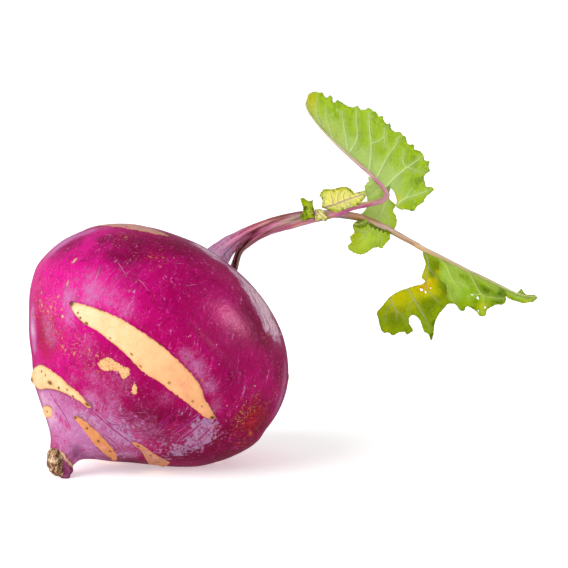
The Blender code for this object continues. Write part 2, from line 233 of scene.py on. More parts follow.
class Wire:
    # a socket of a material; sums written with it add Math or Vector Math nodes

    def __init__(self, tree, socket):
        self.tree, self.socket = tree, socket

    def sum(self, operation, other, swapped=False):
        pair = (other, self) if swapped else (self, other)
        wide = any(v.socket.type in ("VECTOR", "RGBA") if isinstance(v, Wire) else isinstance(v, tuple) for v in pair)
        made = self.tree.nodes.new("ShaderNodeVectorMath" if wide else "ShaderNodeMath")
        made.operation = operation
        for socket, value in zip(made.inputs, pair):
            plug(self.tree, socket, (value,) * 3 if wide and isinstance(value, (int, float)) else value)
        return Wire(self.tree, made.outputs[0])

    def __add__(self, other): return self.sum("ADD", other)
    def __radd__(self, other): return self.sum("ADD", other, True)
    def __sub__(self, other): return self.sum("SUBTRACT", other)
    def __rsub__(self, other): return self.sum("SUBTRACT", other, True)
    def __mul__(self, other): return self.sum("MULTIPLY", other)
    def __rmul__(self, other): return self.sum("MULTIPLY", other, True)


def sway(noise, amount):
    # a noise taken about its middle
    return (noise - 0.5) * amount


class NodeTree:
    # ways to add nodes to one tree

    def __init__(self, tree):
        self.tree = tree

    def node(self, kind, settings, sockets, output=0):
        made = self.tree.nodes.new("ShaderNode" + kind)
        for key, value in settings.items():
            if key == "stops":
                elements = made.color_ramp.elements
                while len(elements) < len(value):
                    elements.new(0.5)
                for element, (position, colour) in zip(elements, value):
                    element.position, element.color = position, colour
            else:
                setattr(made, key, value)
        for key, value in sockets.items():
            plug(self.tree, named(made.inputs, key), value)
        return Wire(self.tree, named(made.outputs, output))

    def field(self, name, output="Fac"):
        return self.node("Attribute", {"attribute_name": name}, {}, output)

    def noise(self, place, scale, detail=3.0, roughness=0.55, output=0):
        sockets = {"Vector": place, "Scale": scale, "Detail": detail, "Roughness": roughness}
        return self.node("TexNoise", {}, sockets, output)

    def cells(self, place, scale, feature="F1", output=0):
        return self.node("TexVoronoi", {"feature": feature}, {"Vector": place, "Scale": scale}, output)

    def cellNumber(self, place, scale, channel=0):
        # a number from 0 to 1 for each cell
        return self.node("SeparateColor", {}, {"Color": self.cells(place, scale, output="Color")}, channel)

    def rise(self, value, low, high):
        # 0 at low, 1 at high
        sockets = {0: value, 1: low, 2: high, 3: 0.0, 4: 1.0}
        return self.node("MapRange", {"interpolation_type": "SMOOTHSTEP"}, sockets)

    def fall(self, value, low, high):
        return 1.0 - self.rise(value, low, high)

    def blend(self, base, other, share):
        sockets = {"Factor_Float": share, "A_Color": base, "B_Color": other}
        return self.node("Mix", {"data_type": "RGBA"}, sockets, "Result_Color")

    def absolute(self, value):
        return self.node("Math", {"operation": "ABSOLUTE"}, {0: value})

    def size(self, vector):
        return self.node("VectorMath", {"operation": "LENGTH"}, {0: vector}, "Value")

    def ramp(self, value, stops):
        return self.node("ValToRGB", {"stops": [(at, tone(code)) for at, code in stops.items()]}, {"Fac": value})

    def strokes(self, value, middle, width):
        # thin lines where a noise passes its middle value
        return self.fall(self.absolute(value - middle), 0.0, width)


class Finish(NodeTree):
    # one material with a Principled shader, painted coat over coat with its own colours

    def __init__(self, name, colours, constants):
        self.material = bpy.data.materials.new(name)
        self.material.use_nodes = True
        super().__init__(self.material.node_tree)
        self.shader = self.tree.nodes["Principled BSDF"]
        for key, value in constants.items():
            self.shader.inputs[key].default_value = value
        self.colours = colours

    def mix(self, base, other, share):
        # colours are wires or names from the finish's own list
        return self.blend(*(tone(self.colours[v]) if isinstance(v, str) else v for v in (base, other)), share)

    def paint(self, colour, share):
        self.colour = self.mix(self.colour, colour, share)

    def tint(self, colour, share):
        self.paint(self.mix(self.colour, colour, 0.5), share)

    def finish(self, roughness, height, bumpDepth):
        plug(self.tree, self.shader.inputs["Base Color"], self.colour)
        plug(self.tree, self.shader.inputs["Roughness"], roughness)
        bump = self.node("Bump", {}, {"Strength": 1.0, "Distance": bumpDepth, "Height": height})
        plug(self.tree, self.shader.inputs["Normal"], bump)
        return self.material


# Bulb

bulbMake = {
    "radius": 50.0,
    "crownHeight": 36.8,
    "crownFullness": 2.17,
    "neckEnd": -52.0,
    "rings": 262,
    "turns": 364,
    "lumpiness": (0.012, 0.012, 0.006),     # shares of the radius, in two, three and five lumps round it
    "lumpFade": 25.0,                       # how far from the neck's end they reach their full size, mm
    "waveRise": 0.3,                        # slow waves over the skin, mm
    "ridgeRise": 0.12,                      # quicker ridges round it, mm
    "scarRise": 0.35,                       # how far a leaf scar stands out of the skin, mm
    "scarGroove": 0.35,                     # how far the skin sinks beside it, as a share of that
    "scuffDepth": 0.25,
    "bumpRise": 0.9,
    "bumps": [(-36.2, -92.0, 2.2, 1.0), (-31.0, 92.0, 2.6, 0.9)],   # (axial, degrees, reach mm, share)
    "dentDepth": 0.8,
    "dents": [(20.0, 44.0, 6.0, 0.6), (24.0, 33.0, 5.0, 0.6), (15.7, 38.0, 2.0, 0.5), (13.0, 52.0, 5.0, 0.5)],
    "fineScratches": 70,
    "slant": (0.414, -0.414, 0.81),         # the way most scratches run over the near underside
    "slantStretch": 0.86,                   # how far the pattern is drawn out along them
    "rootProfile": [
        (-52.0, 5.0), (-48.5, 6.7), (-45.0, 10.7), (-41.0, 16.4), (-37.0, 21.8), (-30.0, 30.0), (-22.0, 39.2),
        (-12.0, 46.6), (-5.0, 49.8), (0.0, 50.0),
    ],
    "axisDrift": [
        (-59.0, 2.6), (-56.0, 1.2), (-52.0, -0.4), (-46.0, -1.5), (-36.0, -1.3), (-25.0, 1.2), (-12.0, 1.1), (0.0, 0.2),
        (12.0, 1.0), (20.0, 1.7), (31.0, 3.2), (40.0, 3.8),
    ],
}

# Leaf scars as outlines on the skin: (height along the axis mm, degrees round it), crown side first.
# warm runs from cream (0) to brown (1), at the outline's first and last side.
leafScars = [
    {"warm": (0, 0.5), "rise": 1, "rim": [
        (-15.2, -44.8), (-14.4, -40.6), (-14.1, -36.3), (-13.3, -26.1), (-12.7, -16.7), (-12.6, -9.1), (-12.4, -1.1),
        (-12.2, 4.8), (-12.5, 11), (-12.5, 19.7), (-13.1, 27.3), (-14.8, 34.6), (-15.3, 44.7), (-16.2, 46.6),
        (-17.8, 43.7), (-18.6, 36.7), (-19.3, 28.5), (-20.1, 20), (-20.6, 12.9), (-21.3, 7.1), (-21.3, 0.3),
        (-20.3, -8.5), (-19.8, -17.2), (-19.1, -25.2), (-18.9, -34.4), (-17.6, -40.7), (-16.4, -43.5)]},
    {"warm": (0.16, 0.2), "rise": 1.5, "rim": [
        (-34.6, -95), (-33.5, -86), (-33.3, -77), (-33, -67), (-33.9, -52.6), (-34.7, -40.7), (-35.5, -29),
        (-35.9, -18.5), (-36.4, -10), (-37, -2.5), (-37.8, -4.7), (-37.6, -11.6), (-37.7, -21.5), (-37.8, -32.7),
        (-38.1, -42.3), (-38.6, -60.9), (-38.9, -75), (-38, -88)]},
    {"warm": (0.62, 0.66), "rise": 0.8, "rim": [
        (-41.3, -13), (-40.9, -1), (-41, 12.5), (-41, 27.3), (-41, 45.6), (-40.8, 74.4), (-41.1, 96),
        (-43.1, 66), (-43.8, 41.9), (-43.4, 21.5), (-42.7, 2.4), (-42, -12)]},
    {"warm": (0.72, 0.8), "rise": 0.8, "rim": [
        (-36.1, 49), (-34.6, 56.6), (-33.6, 65.3), (-32.7, 72.7), (-31.5, 78.8), (-30.1, 86), (-31.6, 98),
        (-33.8, 99), (-35.2, 77.3), (-35.6, 64.5), (-36.3, 54)]},
    {"warm": (0.22, 0.3), "rise": 0.9, "rim": [
        (-42.4, -96), (-42.3, -78), (-42.2, -62), (-42.9, -55), (-44.3, -60), (-44.6, -78), (-44.2, -96)]},
    # round the back and on the crown's shoulder
    {"warm": (1, 0.9), "rise": 0.4, "crisp": 0.35, "lens": (20.4, -66, 27, 4.2, 8)},
    {"warm": (0.12, 0.4), "rise": 1, "lens": (-14, 146, 33, 4.4, 3)},
    {"warm": (0.3, 0.1), "rise": 1, "lens": (3, -140, 31, 3.9, -3)},
    {"warm": (0.45, 0.6), "rise": 0.8, "lens": (20, 108, 23, 3.4, 2)},
    {"warm": (0.35, 0.5), "rise": 0.8, "lens": (-34.5, 168, 16, 2.1, 4)},
    {"warm": (0.5, 0.35), "rise": 0.6, "lens": (30.5, -160, 14, 2.2, 0)},
    {"warm": (0.55, 0.6), "rise": 0.6, "lens": (-43, 170, 8, 0.9, 3)},
]

# Where the skin has rubbed off.
scuffs = [
    [(-26.8, -17.8), (-25.3, -17), (-24, -14.4), (-23.8, -10.7), (-23.7, -5.8), (-23.3, -1.3), (-25.1, 0.1),
     (-26.5, -0.6), (-25.5, -5.5), (-26.4, -9.1), (-27.5, -12.4)],
    [(-27.1, 7.1), (-25.1, 5), (-26.1, 9.1), (-27.2, 10.4), (-27.8, 9)],
    [(2, 172), (3.6, 175), (3, 179), (1.6, 178), (0.4, 175)],
]

# A whitish film that has cracked along its edge; along the rim it carries a painted sheen of reflected light.
filmAndSheenOutlines = [
    [
        (28.6, -27), (26.6, -22), (26.4, -14), (26.6, -7), (27.6, 0), (26, 10.2), (23.9, 14.7), (23.5, 18.6),
        (22, 22.2), (20.4, 26.9), (18.9, 30.8), (17.2, 33.5), (17.2, 37.7), (18.6, 42.9), (18.4, 48), (20.5, 55),
        (24, 62), (28, 60), (31.5, 42), (32.5, 22), (34, 6), (35, -8), (34, -24),
    ],
    [(8, 168), (5, 174), (7, 184), (12, 190), (14, 180), (12, 170)],
]

# Creases and scratches: (half width mm, 0 dark to 1 pale, places on the skin).
marks = [
    (0.35, 0, [(-38.6, -60.9), (-40.5, -48.9), (-41.7, -37.8), (-43.1, -25.2), (-44.5, -13.6)]),
    (0.42, 0, [(-37.6, -5.2), (-37.8, 8.6), (-37.8, 24.6), (-37.1, 42.7), (-36.2, 55.2)]),
    (0.32, 0, [(-40.5, 24.2), (-39.9, 42.4), (-39.4, 61.4)]),
    (0.26, 0, [(-35.4, 14), (-34.9, 18.9), (-34, 21.9), (-31.8, 23.8)]),
    (0.26, 0, [(-37.4, 14.5), (-36.9, 22.8), (-35.5, 26.4)]),
    (0.6, 0.05, [(-27.8, 35.6), (-25.1, 32.3), (-22.4, 30.6)]),
    (0.8, 0.05, [(-27.1, 46.1), (-23.1, 41), (-19.3, 39.6)]), (0.6, 0.05, [(-30.1, 43.5), (-28, 39.2), (-26.3, 35.3)]),
    (0.8, 0.05, [(-26.7, 53.5), (-23.5, 48.5), (-20.2, 45.5)]),
    (0.7, 0.05, [(-25.4, 61), (-22.3, 55.3), (-18.6, 50.9)]), (0.32, 0, [(-31.8, 17.5), (-31.5, 28.7), (-29.9, 34)]),
    (0.3, 0.1, [(-28, 66), (-24, 60.5), (-20.5, 57)]), (0.09, 1, [(3, -31.5), (0.1, -24.2)]),
    (0.08, 1, [(1, -18.1), (-0.5, -12.9)]), (0.09, 1, [(-1.8, -36.3), (-6, -35.1)]),
    (0.32, 0, [(25.2, 16), (21, 20), (19.4, 27)]), (0.32, 0, [(21.6, 27.5), (20.4, 33), (18, 36)]),
    (0.29, 0, [(23, 33), (21.6, 39), (19.4, 42)]), (0.26, 0, [(27, 20), (24.6, 24), (23.6, 30)]),
    (0.32, 0, [(-37.5, 120), (-37.9, 140), (-37.2, 165), (-37.8, 190)]),
    (0.32, 0, [(-33, -120), (-33.6, -135), (-32.6, -150)]), (0.40, 0, [(-30, 110), (-28.5, 122), (-25, 130)]),
    (0.15, 1, [(10, 120), (6, 128)]), (0.3, 0.1, [(-12, 105), (-8, 98)]),
]

# Pits, vascular dots and slits: (axial, degrees, half length round the bulb mm, half length along it mm, darkness 0-1).
pits = [
    (-15.3, -44, 1.3, 1, 1), (-17.9, -36.3, 0.5, 0.4, 0.9), (-18.6, -32, 0.7, 0.5, 0.9), (-16.9, -38.5, 0.4, 0.4, 0.8),
    (-19, -17.4, 0.4, 0.3, 0.45), (-19.4, -4.8, 0.6, 0.35, 0.45), (-20.6, 1.8, 0.5, 0.3, 0.45),
    (-18.7, 16.7, 0.5, 0.5, 0.42), (-17.6, 30.8, 0.42, 0.36, 0.42), (-16.3, 45, 0.9, 0.7, 1),
    (-16.6, 36, 0.36, 0.3, 0.42), (-19.6, 24, 0.35, 0.3, 0.9), (-36.9, -52.9, 1.4, 0.7, 0.9),
    (-37.2, -39.8, 0.5, 0.5, 0.9), (-37, -6.7, 0.9, 0.5, 0.8), (-36.2, -91, 1.3, 1.1, 1), (-34.6, -66, 0.5, 0.4, 0.9),
    (-37.3, -22, 0.5, 0.4, 0.85), (-35.4, -60, 0.4, 0.4, 0.6), (-36.6, -30, 0.4, 0.3, 0.7), (-41.6, -11, 0.6, 0.5, 1),
    (-42, 9.2, 0.5, 0.5, 0.8), (-42.4, 34.1, 0.6, 0.5, 1), (-41.7, 59.4, 0.5, 0.4, 0.9), (-42.2, 80, 0.5, 0.4, 0.9),
    (-35.6, 56, 0.7, 0.4, 0.95), (-33.9, 72, 0.5, 0.4, 0.7), (-32.4, 85, 0.6, 0.5, 0.8), (-43.4, -70, 0.5, 0.4, 0.7),
    (-11.5, 25.7, 0.9, 0.6, 0.42), (-2.8, -50.6, 0.7, 1.5, 0.12), (-10.3, -49.8, 0.5, 1.4, 0.2),
    (-21.3, -67.4, 0.5, 1.1, 0.5), (-19.5, -48.6, 0.7, 0.7, 0.12), (10.5, -22.7, 1.3, 0.35, 0.4),
    (12.9, -18.6, 0.9, 0.3, 0.4), (11.4, -20.4, 0.6, 0.5, 0.45), (-36.8, 2.9, 0.5, 0.4, 0.85),
    (-33.6, 33.4, 0.5, 0.4, 0.2), (-17.1, 50.9, 0.6, 0.5, 0.5), (0.9, 47.6, 0.4, 0.3, 0),
    (-10.9, 43.9, 0.35, 0.35, 0.15), (17.8, 39.3, 0.7, 0.9, 0.45), (15.3, 38.5, 0.4, 0.7, 0.7),
    (-4.3, 57.7, 0.5, 0.4, 0.42), (-8.8, 68, 1.6, 1, 0.45), (-11, 86, 1.4, 0.8, 0.5), (-10.5, 54.7, 0.5, 0.4, 0.4),
    (-0.1, 52.3, 0.4, 0.4, 0.42), (-3.8, -72, 0.4, 0.7, 0.5), (-14.6, 62, 0.8, 0.5, 0.6), (-14, 128, 0.5, 0.5, 0.9),
    (-14.2, 146, 0.6, 0.5, 0.9), (-14, 165, 0.5, 0.5, 0.9), (3.2, -158, 0.6, 0.5, 0.9), (3, -140, 0.5, 0.5, 0.8),
    (2.6, -122, 0.6, 0.5, 0.9), (20.2, 96, 0.5, 0.5, 0.8), (20.2, 118, 0.5, 0.5, 0.8), (20.6, -84, 0.5, 0.5, 0.8),
    (20, -52, 0.5, 0.5, 0.7), (-34.4, 160, 0.4, 0.4, 0.9), (-34.6, 180, 0.4, 0.4, 0.9),
]

# Soft patches of tint, some of them painted light and shade: (axial, degrees, reach mm, strength).
skinTints = {
    # vivid skin, partly painted light: brighter on the side the sun lights and at the gleam
    "glow": [
        (-4.4, -59.7, 26, 0.75), (-12, -58, 22, 0.4), (-16, -85, 20, 0.35), (-2, -95, 26, 0.4), (1, -36, 18, 0.35),
        (-10, -20, 9, 0.22), (-4, 150, 26, 0.4), (10.5, 16.7, 9, 0.35), (-30, -60, 12, 0.3),
    ],
    "bare": [   # vivid skin showing through the bloom
        (-43.2, -46.2, 1.3, 0.8), (-44.1, -32.2, 1.5, 1), (-44.6, -17.8, 1.3, 0.9), (-48.5, -9.6, 1.6, 0.6),
        (-40.4, -47, 1.2, 0.8), (-41.8, -30, 1, 0.5), (-39.9, 56.5, 1.2, 0.5), (-47.2, 40, 1.4, 0.5),
        (-39.4, 22, 1.4, 0.5), (-37.4, 34, 1.6, 0.7), (-35.6, 20, 1.4, 0.7), (-34.4, 44, 1.6, 0.7),
        (-46, 130, 1.6, 0.8), (-44, 200, 1.6, 0.8), (-41.5, 150, 1.6, 0.7),
    ],
    # painted shade along the underside of the neck, next to the root stub
    "bruised": [
        (-47.6, 30, 3.6, 0.42), (-49.8, 44, 3, 0.4), (-47.5, 80, 3.4, 0.45), (-45, 96, 4, 0.4), (-49, 200, 3, 0.45),
    ],
    # darker patches of the skin's own colour, and painted shade on the underside and near the bottom; negative
    # strengths lighten
    "shade": [
        (29, -9, 5, -0.5), (29, 2, 5, -0.5), (-1, -66, 6, 0.35), (-2.1, -54.8, 5, 0.2), (5, -62, 5.5, 0.45),
        (-32.5, 20, 5, 0.3), (-30, 31, 5, 0.3), (1, -3.8, 9, 0.2), (-1, 16, 9, 0.2), (10, 0, 9, 0.2),
        (6.4, -28.7, 6, 0.5), (3.2, -36, 5, 0.4), (-0.2, -21.9, 6, 0.3), (9.4, -47.3, 4, 0.4), (0.9, -45.2, 4, 0.3),
        (-25.2, 33.9, 5, 0.5), (-22.1, 39.7, 4, 0.45), (-31.2, 41.2, 6, 0.35), (-24.4, 53.3, 4, 0.3),
        (-5.1, 34.9, 4, 0.3), (5.6, 36.1, 6, -0.4), (9.4, 46.3, 6, -0.45), (0.1, 45.8, 6, -0.4), (4.1, 55.4, 5, -0.35),
        (-26.1, 72.2, 4, 0.4), (-47.9, 32, 3.4, 0.4), (-15, 84, 10, 0.6), (-26.8, 65, 5, 0.35), (-2, 64, 8, 0.35),
        (13, 58, 5, 0.4), (13.5, -40, 9, 0.55), (15.5, -27, 9, 0.5), (23, -18, 9, 0.55), (10, 30, 16, 0.35),
        (3, 40, 12, 0.3), (-24, 22, 12, 0.35), (-22, -14, 8, 0.25), (-43, 60, 7, 0.5), (-40, 85, 8, 0.6),
        (-34, 100, 10, 0.5), (-24, 76, 9, 0.4), (-8, 62, 14, 0.55), (-16, 66, 12, 0.6), (-26, 6, 9, 0.3),
        (-29.5, 27, 6, 0.45), (-24, -72, 9, 0.35), (-29.5, 50, 5, 0.5), (-29.1, 74, 6, 0.55), (15, 33, 5, 0.45),
        (17.5, 22, 6, 0.35), (14, 46, 5, 0.4), (30, 60, 12, 0.5), (26, -120, 14, 0.5), (32, 150, 14, 0.5),
    ],
    "sheen": [   # where the whitish film and its painted sheen on the rim are thickest
        (28.8, -21, 5, 1), (29, -9, 5, 1.3), (27, 12, 7, 1), (25.5, 27, 7, 1.3), (22.5, 38, 7, 1.3), (22, 46, 4.5, 0.4),
        (8, 178, 6, 0.6),
    ],
    # lavender bloom, and in places a painted sheen along the rim and a painted glare on the side the sun lights
    "haze": [
        (-14, -46.3, 4, 0.6), (-12.5, -35.5, 4, 0.45), (-19.2, -43.4, 4, 0.5), (-25.2, -58.8, 5, 0.5),
        (-21, -64, 5, 0.4), (-8.5, -50, 5, 0.3), (-5, -41, 5, 0.25), (-23.9, -82.4, 4, 0.6), (-33.4, -30, 4, 0.25),
        (-30.6, -15.9, 4, 0.25), (-27.6, -5.6, 5, 0.25), (-25.6, 3.2, 4, 0.3), (-40.3, -54, 4.5, 0.8),
        (-40.5, -79, 4, 1.2), (-44.5, -76, 3.5, 0.8), (-35.3, -8.2, 3.5, 0.5), (-32.5, 3.8, 4, 0.3),
        (-21.7, 23.3, 4, 0.3), (-44.6, -60, 4.5, 0.8), (-36.1, 15.8, 3.5, 0.3), (-38.1, 71.8, 3, 0.5),
        (-7.3, -6.7, 4, -0.4), (-7.8, -0.5, 4, -0.4), (-9, 5.6, 4, -0.45), (5, 12, 5, -0.2), (-46, 20, 10, 0.8),
        (-42, -20, 9, 0.7), (-6.9, -30, 8, 0.25), (-10.7, -18.9, 4, 0.25), (-23.4, -26.4, 6, 0.25), (-42, -80, 10, 0.6),
        (-44, 120, 14, 0.6), (-38, 30, 9, 0.45), (-36, 52, 8, 0.35), (-33, 10, 8, 0.15), (-29, 50, 8, 0.25),
        (-20.5, 44, 7, 0.3), (-23, 56, 7, 0.3), (24, 24, 6, 0.5), (25, 34, 6, 0.5), (-3, -76, 5, 0.45),
        (3, -73, 4, 0.95), (7.5, -69.5, 4, 1.05), (12, -64.5, 3.6, 0.95), (16, -58, 4, 0.5), (8, -82, 10, 0.3),
        (-14, -84, 6, 0.35), (-24, -82, 3.4, 1.5), (-19.8, -81, 3, 1.1), (-28, -83, 3, 0.9), (28.5, -8, 4, 0.45),
        (29, 1, 3.5, 0.3), (27, -15, 4, 0.3), (17.5, 62, 3.5, 0.5), (14, 67, 3.5, 0.7), (9, 71.5, 4, 0.7),
        (4, 76, 3.5, 0.5), (31.5, -22, 5, 0.45), (31, -8, 4.5, 0.6), (31, 6, 4.5, 0.5), (30.5, 14, 4.5, 0.5),
        (21, 48, 7, 0.45), (30, 20, 7, 0.35), (-9, -36, 5, 0.3), (-9.3, -26, 5, 0.3), (-9.3, -14, 5, 0.35),
        (-9.5, -5, 5, 0.35), (-9.8, 4, 5, 0.4), (-9.6, 13, 4.5, 0.5), (-10, 21, 4, 0.65), (-11.5, 30, 4, 0.65),
        (-13, 40, 3.5, 0.5), (-16, -55, 6, 0.3), (-13, -62, 5, 0.15), (-29, -60, 8, 0.1), (-24, -45, 8, 0.2),
        (-27, -25, 8, 0.2), (-30, 0, 7, 0.15), (3, -25, 9, 0.22), (6, -8, 7, 0.18), (-27, 22, 6, 0.22),
        (-30, 34, 6, 0.22), (-22, 18, 5, 0.15), (5, 12, 8, 0.12), (-2, 34, 6, 0.15), (-40, 180, 14, 0.6),
        (24, 150, 9, 0.4), (-10, 146, 10, 0.35), (7, -140, 9, 0.35), (34, -60, 8, 0.3), (-34, -75, 6, 0.3),
        (-2, 100, 12, 0.3),
    ],
    "wax": [
        (-20.5, 45, 4, 0.62), (-22, 54, 5, 0.8), (-18, 49, 3.5, 0.5), (-25.4, 61, 4, 0.6), (-28.3, 67.6, 3.5, 0.55),
        (-21, 58.7, 3, 0.4), (-23.2, 62.7, 3, 0.3), (-22.1, 39.7, 3, -0.4), (-31.2, 76, 4, 0.5), (-30, 56, 4, 0.3),
        (-21, 35, 3, 0.35), (-37.5, 40, 5, 0.6), (-36, 26, 4, 0.45), (-40, 70, 5, 0.4), (-34.6, 8, 3, 0.3),
        (-39.5, 12, 4, 0.35), (-38.5, -30, 4, 0.4), (-40, 0, 5, 0.35), (-34.5, 62, 4, 0.35), (-38, 160, 9, 0.5),
        (0, 160, 8, 0.35), (14, -150, 9, 0.35), (-24, -150, 8, 0.4), (-20, 110, 7, 0.35), (-30, -110, 7, 0.4),
    ],
    "rust": [
        (-14, -75, 6, 0.5), (-20, -70, 8, 0.55), (-25, -58, 8, 0.4), (-26, -35, 7, 0.35), (-18, -58, 5, 0.35),
        (-6, 55, 6, 0.75), (-10, 62, 6, 0.5), (-12, 76, 5, 0.5), (-3, 64, 6, 0.4), (-20, 58, 5, 0.2), (11, -21, 5, 0.3),
        (16, 38.5, 4, 0.35), (-28, 3, 8, 0.05), (-10, 170, 12, 0.35), (12, -110, 12, 0.35), (12, 62, 6, 0.3),
        (-27, -20, 6, 0.25), (14, -42, 6, 0.25), (-42, 30, 4, 0.2),
    ],
    "blush": [   # red-brown ground under the roughest skin
        (-8, 60, 8, 0.5), (-14, 84, 8, 0.4), (-3, 62, 8, 0.5), (-16, -78, 9, 0.3), (-23, -68, 7, 0.25),
        (22, -24, 7, 0.4), (-1, 84, 9, 0.5), (-28.5, -63, 7, 0.7), (12, -21, 5, 0.35), (10, 24, 6, 0.4),
        (-24, -58, 8, 0.4), (-23, -45, 7, 0.25),
    ],
}


def bulbProfile():
    # (axial, radius) from the neck's end to the crown, evenly spaced along the skin
    root = smoothPath(bulbMake["rootProfile"], 12)
    turn = np.linspace(0.0, math.pi / 2, 240)[1:]
    power = 2 / bulbMake["crownFullness"]
    crownAxial = bulbMake["crownHeight"] * np.sin(turn) ** power
    crownRadius = bulbMake["radius"] * np.clip(np.cos(turn), 0, 1) ** power
    whole = np.vstack([root, np.c_[crownAxial, crownRadius]])
    reach = lengthAlong(whole)
    even = np.linspace(0.0, reach[-1], bulbMake["rings"] + 1)
    return np.interp(even, reach, whole[:, 0]), np.interp(even, reach, whole[:, 1])


profileAxial, profileRadius = bulbProfile()


def skinPoint(axial, angle):
    # place on the skin in the bulb's own frame, mm
    fade = np.clip((axial - bulbMake["neckEnd"]) / bulbMake["lumpFade"], 0.0, 1.0)
    two, three, five = bulbMake["lumpiness"]
    lumps = two * np.sin(2 * angle + 0.02 * axial) + three * np.cos(3 * angle) + five * np.cos(5 * angle)
    radius = np.interp(axial, profileAxial, profileRadius) * (1 + fade * lumps)
    across = radius * np.sin(angle) + readOff(bulbMake["axisDrift"], axial)
    return np.stack([radius * np.cos(angle), across, axial], -1)


def lensOutline(axial, degrees, halfLength, halfWidth, tilt):
    # pointed oval round the bulb, tilted in degrees
    turn = np.linspace(0.0, math.tau, 28, endpoint=False)
    along = halfLength * np.cos(turn)
    across = halfWidth * np.sin(turn) * np.abs(np.sin(turn)) ** 0.35 * (1 + 0.1 * np.sin(3 * turn + degrees))
    lift = math.radians(tilt)
    height = axial + across * math.cos(lift) + along * math.sin(lift)
    radius = np.interp(axial, profileAxial, profileRadius)
    return np.c_[height, degrees + np.degrees((along * math.cos(lift) - across * math.sin(lift)) / radius)]


def outlineReach(rim, skin, axial, degrees, limit):
    # distance in from an outline on the skin, negative outside; also the share of the way round it
    rim = smoothPath(rim, 5, closed=True)
    middle = 0.5 * (rim[:, 1].min() + rim[:, 1].max())
    across = (degrees - middle + 180.0) % 360.0 - 180.0
    loop = skinPoint(rim[:, 0], np.radians(rim[:, 1]))
    centre = loop.mean(0)
    near = np.linalg.norm(skin - centre, axis=1) < np.linalg.norm(loop - centre, axis=1).max() + limit
    reach = np.full(len(skin), -limit)
    gap, _ = nearestOn(closedUp(loop), skin[near])
    within = insideOf(np.c_[rim[:, 1] - middle, rim[:, 0]], np.c_[across[near], axial[near]])
    reach[near] = np.clip(np.where(within, gap, -gap), -limit, limit)
    return reach, across / max(rim[:, 1].max() - middle, 1.0)


def tinted(spots, places):
    # sum of soft round spots, on the skin (places in three) or on a leaf (places in two)
    total = np.zeros(len(places))
    for x, y, reach, strength in spots:
        centre = skinPoint(np.array([x]), np.radians([y]))[0] if places.shape[1] == 3 else np.array((x, y))
        total += strength * np.exp(-((places - centre) ** 2).sum(1) / reach ** 2)
    return total


def fineScratch(draw):
    # a short bent scratch somewhere on the skin, in the form of the marks above
    height, turn, way = draw.uniform(-40, 30), draw.uniform(0, 360), draw.normal(0.9, 0.5)
    run = draw.uniform(0.4, 1.7)
    radius = np.interp(height, profileAxial, profileRadius)
    bend = draw.uniform(-0.12, 0.12)
    steps = []
    for k in (-1, 0, 1):
        sideways = k * run * math.sin(way + k * bend)
        steps.append((height + k * run * math.cos(way + k * bend), turn + math.degrees(sideways / radius)))
    return draw.uniform(0.05, 0.1), draw.choice([0.15, 1.0, 1.0]), steps


def scratchFields(skin, outward):
    # signed distance across the nearest mark in half widths, how near it is, and how pale it is
    draw = np.random.default_rng(23)
    lines = marks + [fineScratch(draw) for _ in range(bulbMake["fineScratches"])]
    across, near, pale = np.full(len(skin), 99.0), np.full(len(skin), 9.0), np.zeros(len(skin))
    for half, tint, places in lines:
        spots = smoothPath(places, 5)
        line = skinPoint(spots[:, 0], np.radians(spots[:, 1]))
        middle = line.mean(0)
        farthest = np.linalg.norm(line - middle, axis=1).max()
        close = np.flatnonzero(np.linalg.norm(skin - middle, axis=1) < farthest + 3.0)
        if not len(close):
            continue
        gap, at = nearestOn(line, skin[close])
        step = np.minimum(at.astype(int), len(line) - 2)
        side = unit(np.cross(outward[close], line[step + 1] - line[step]))
        sign = ((skin[close] - line[step]) * side).sum(1)
        taper = 0.35 + 0.65 * np.sin(math.pi * np.clip(at / (len(line) - 1), 0.03, 0.97))
        nearer = gap < near[close]
        picked = close[nearer]
        across[picked], near[picked], pale[picked] = (sign / (half * taper))[nearer], gap[nearer], tint
    return {"markAcross": np.clip(across, -40.0, 40.0), "markNear": near, "markPale": pale}


def scarFields(skin, axial, degrees):
    # distance in from the nearest leaf scar's edge, that scar's warmth, and how far the skin rises there
    edge, warmth, rise = np.full(len(skin), -8.0), np.zeros(len(skin)), np.zeros(len(skin))
    for scar in leafScars:
        rim = scar["rim"] if "rim" in scar else lensOutline(*scar["lens"])
        reach, side = outlineReach(rim, skin, axial, degrees, 8.0)
        first, last = scar["warm"]
        crisp = reach * scar.get("crisp", 1.0)
        nearer = crisp > edge
        edge[nearer] = crisp[nearer]
        warmth[nearer] = (first + (last - first) * (0.5 + 0.5 * np.clip(side, -1, 1)))[nearer]
        groove = bulbMake["scarGroove"] * scar["rise"] * np.exp(-((reach + 0.9) / 0.7) ** 2)
        rise += scar["rise"] * ease(reach, -0.5, 0.9) - groove
    return {"scarEdge": edge, "scarWarm": warmth}, rise


def pitFields(skin):
    # every pit keeps the offset to its own middle, so it stays round however coarse the mesh is
    names = np.random.default_rng(11).permutation(len(pits)) / len(pits)
    place, dark, label = np.zeros((len(skin), 3)), np.zeros(len(skin)), np.zeros(len(skin))
    nearest = np.full(len(skin), 1e9)
    for (height, turn, wide, tall, darkness), name in zip(pits, names):
        centre = skinPoint(np.array([height]), np.radians([turn]))[0]
        roundWay = np.array((-math.sin(math.radians(turn)), math.cos(math.radians(turn)), 0.0))
        offset = skin - centre
        gap = (offset ** 2).sum(1)
        sideways = offset @ roundWay
        upward = np.sqrt(np.maximum(gap - sideways ** 2, 0.0)) * np.sign(offset[:, 2])
        nearer = gap < nearest
        nearest[nearer] = gap[nearer]
        place[nearer] = np.c_[sideways / wide, upward / tall, np.zeros(len(skin))][nearer]
        dark[nearer], label[nearer] = darkness, name
    return {"pitPlace": place, "pitTone": dark, "pitName": label, "pitNameSquared": label ** 2}


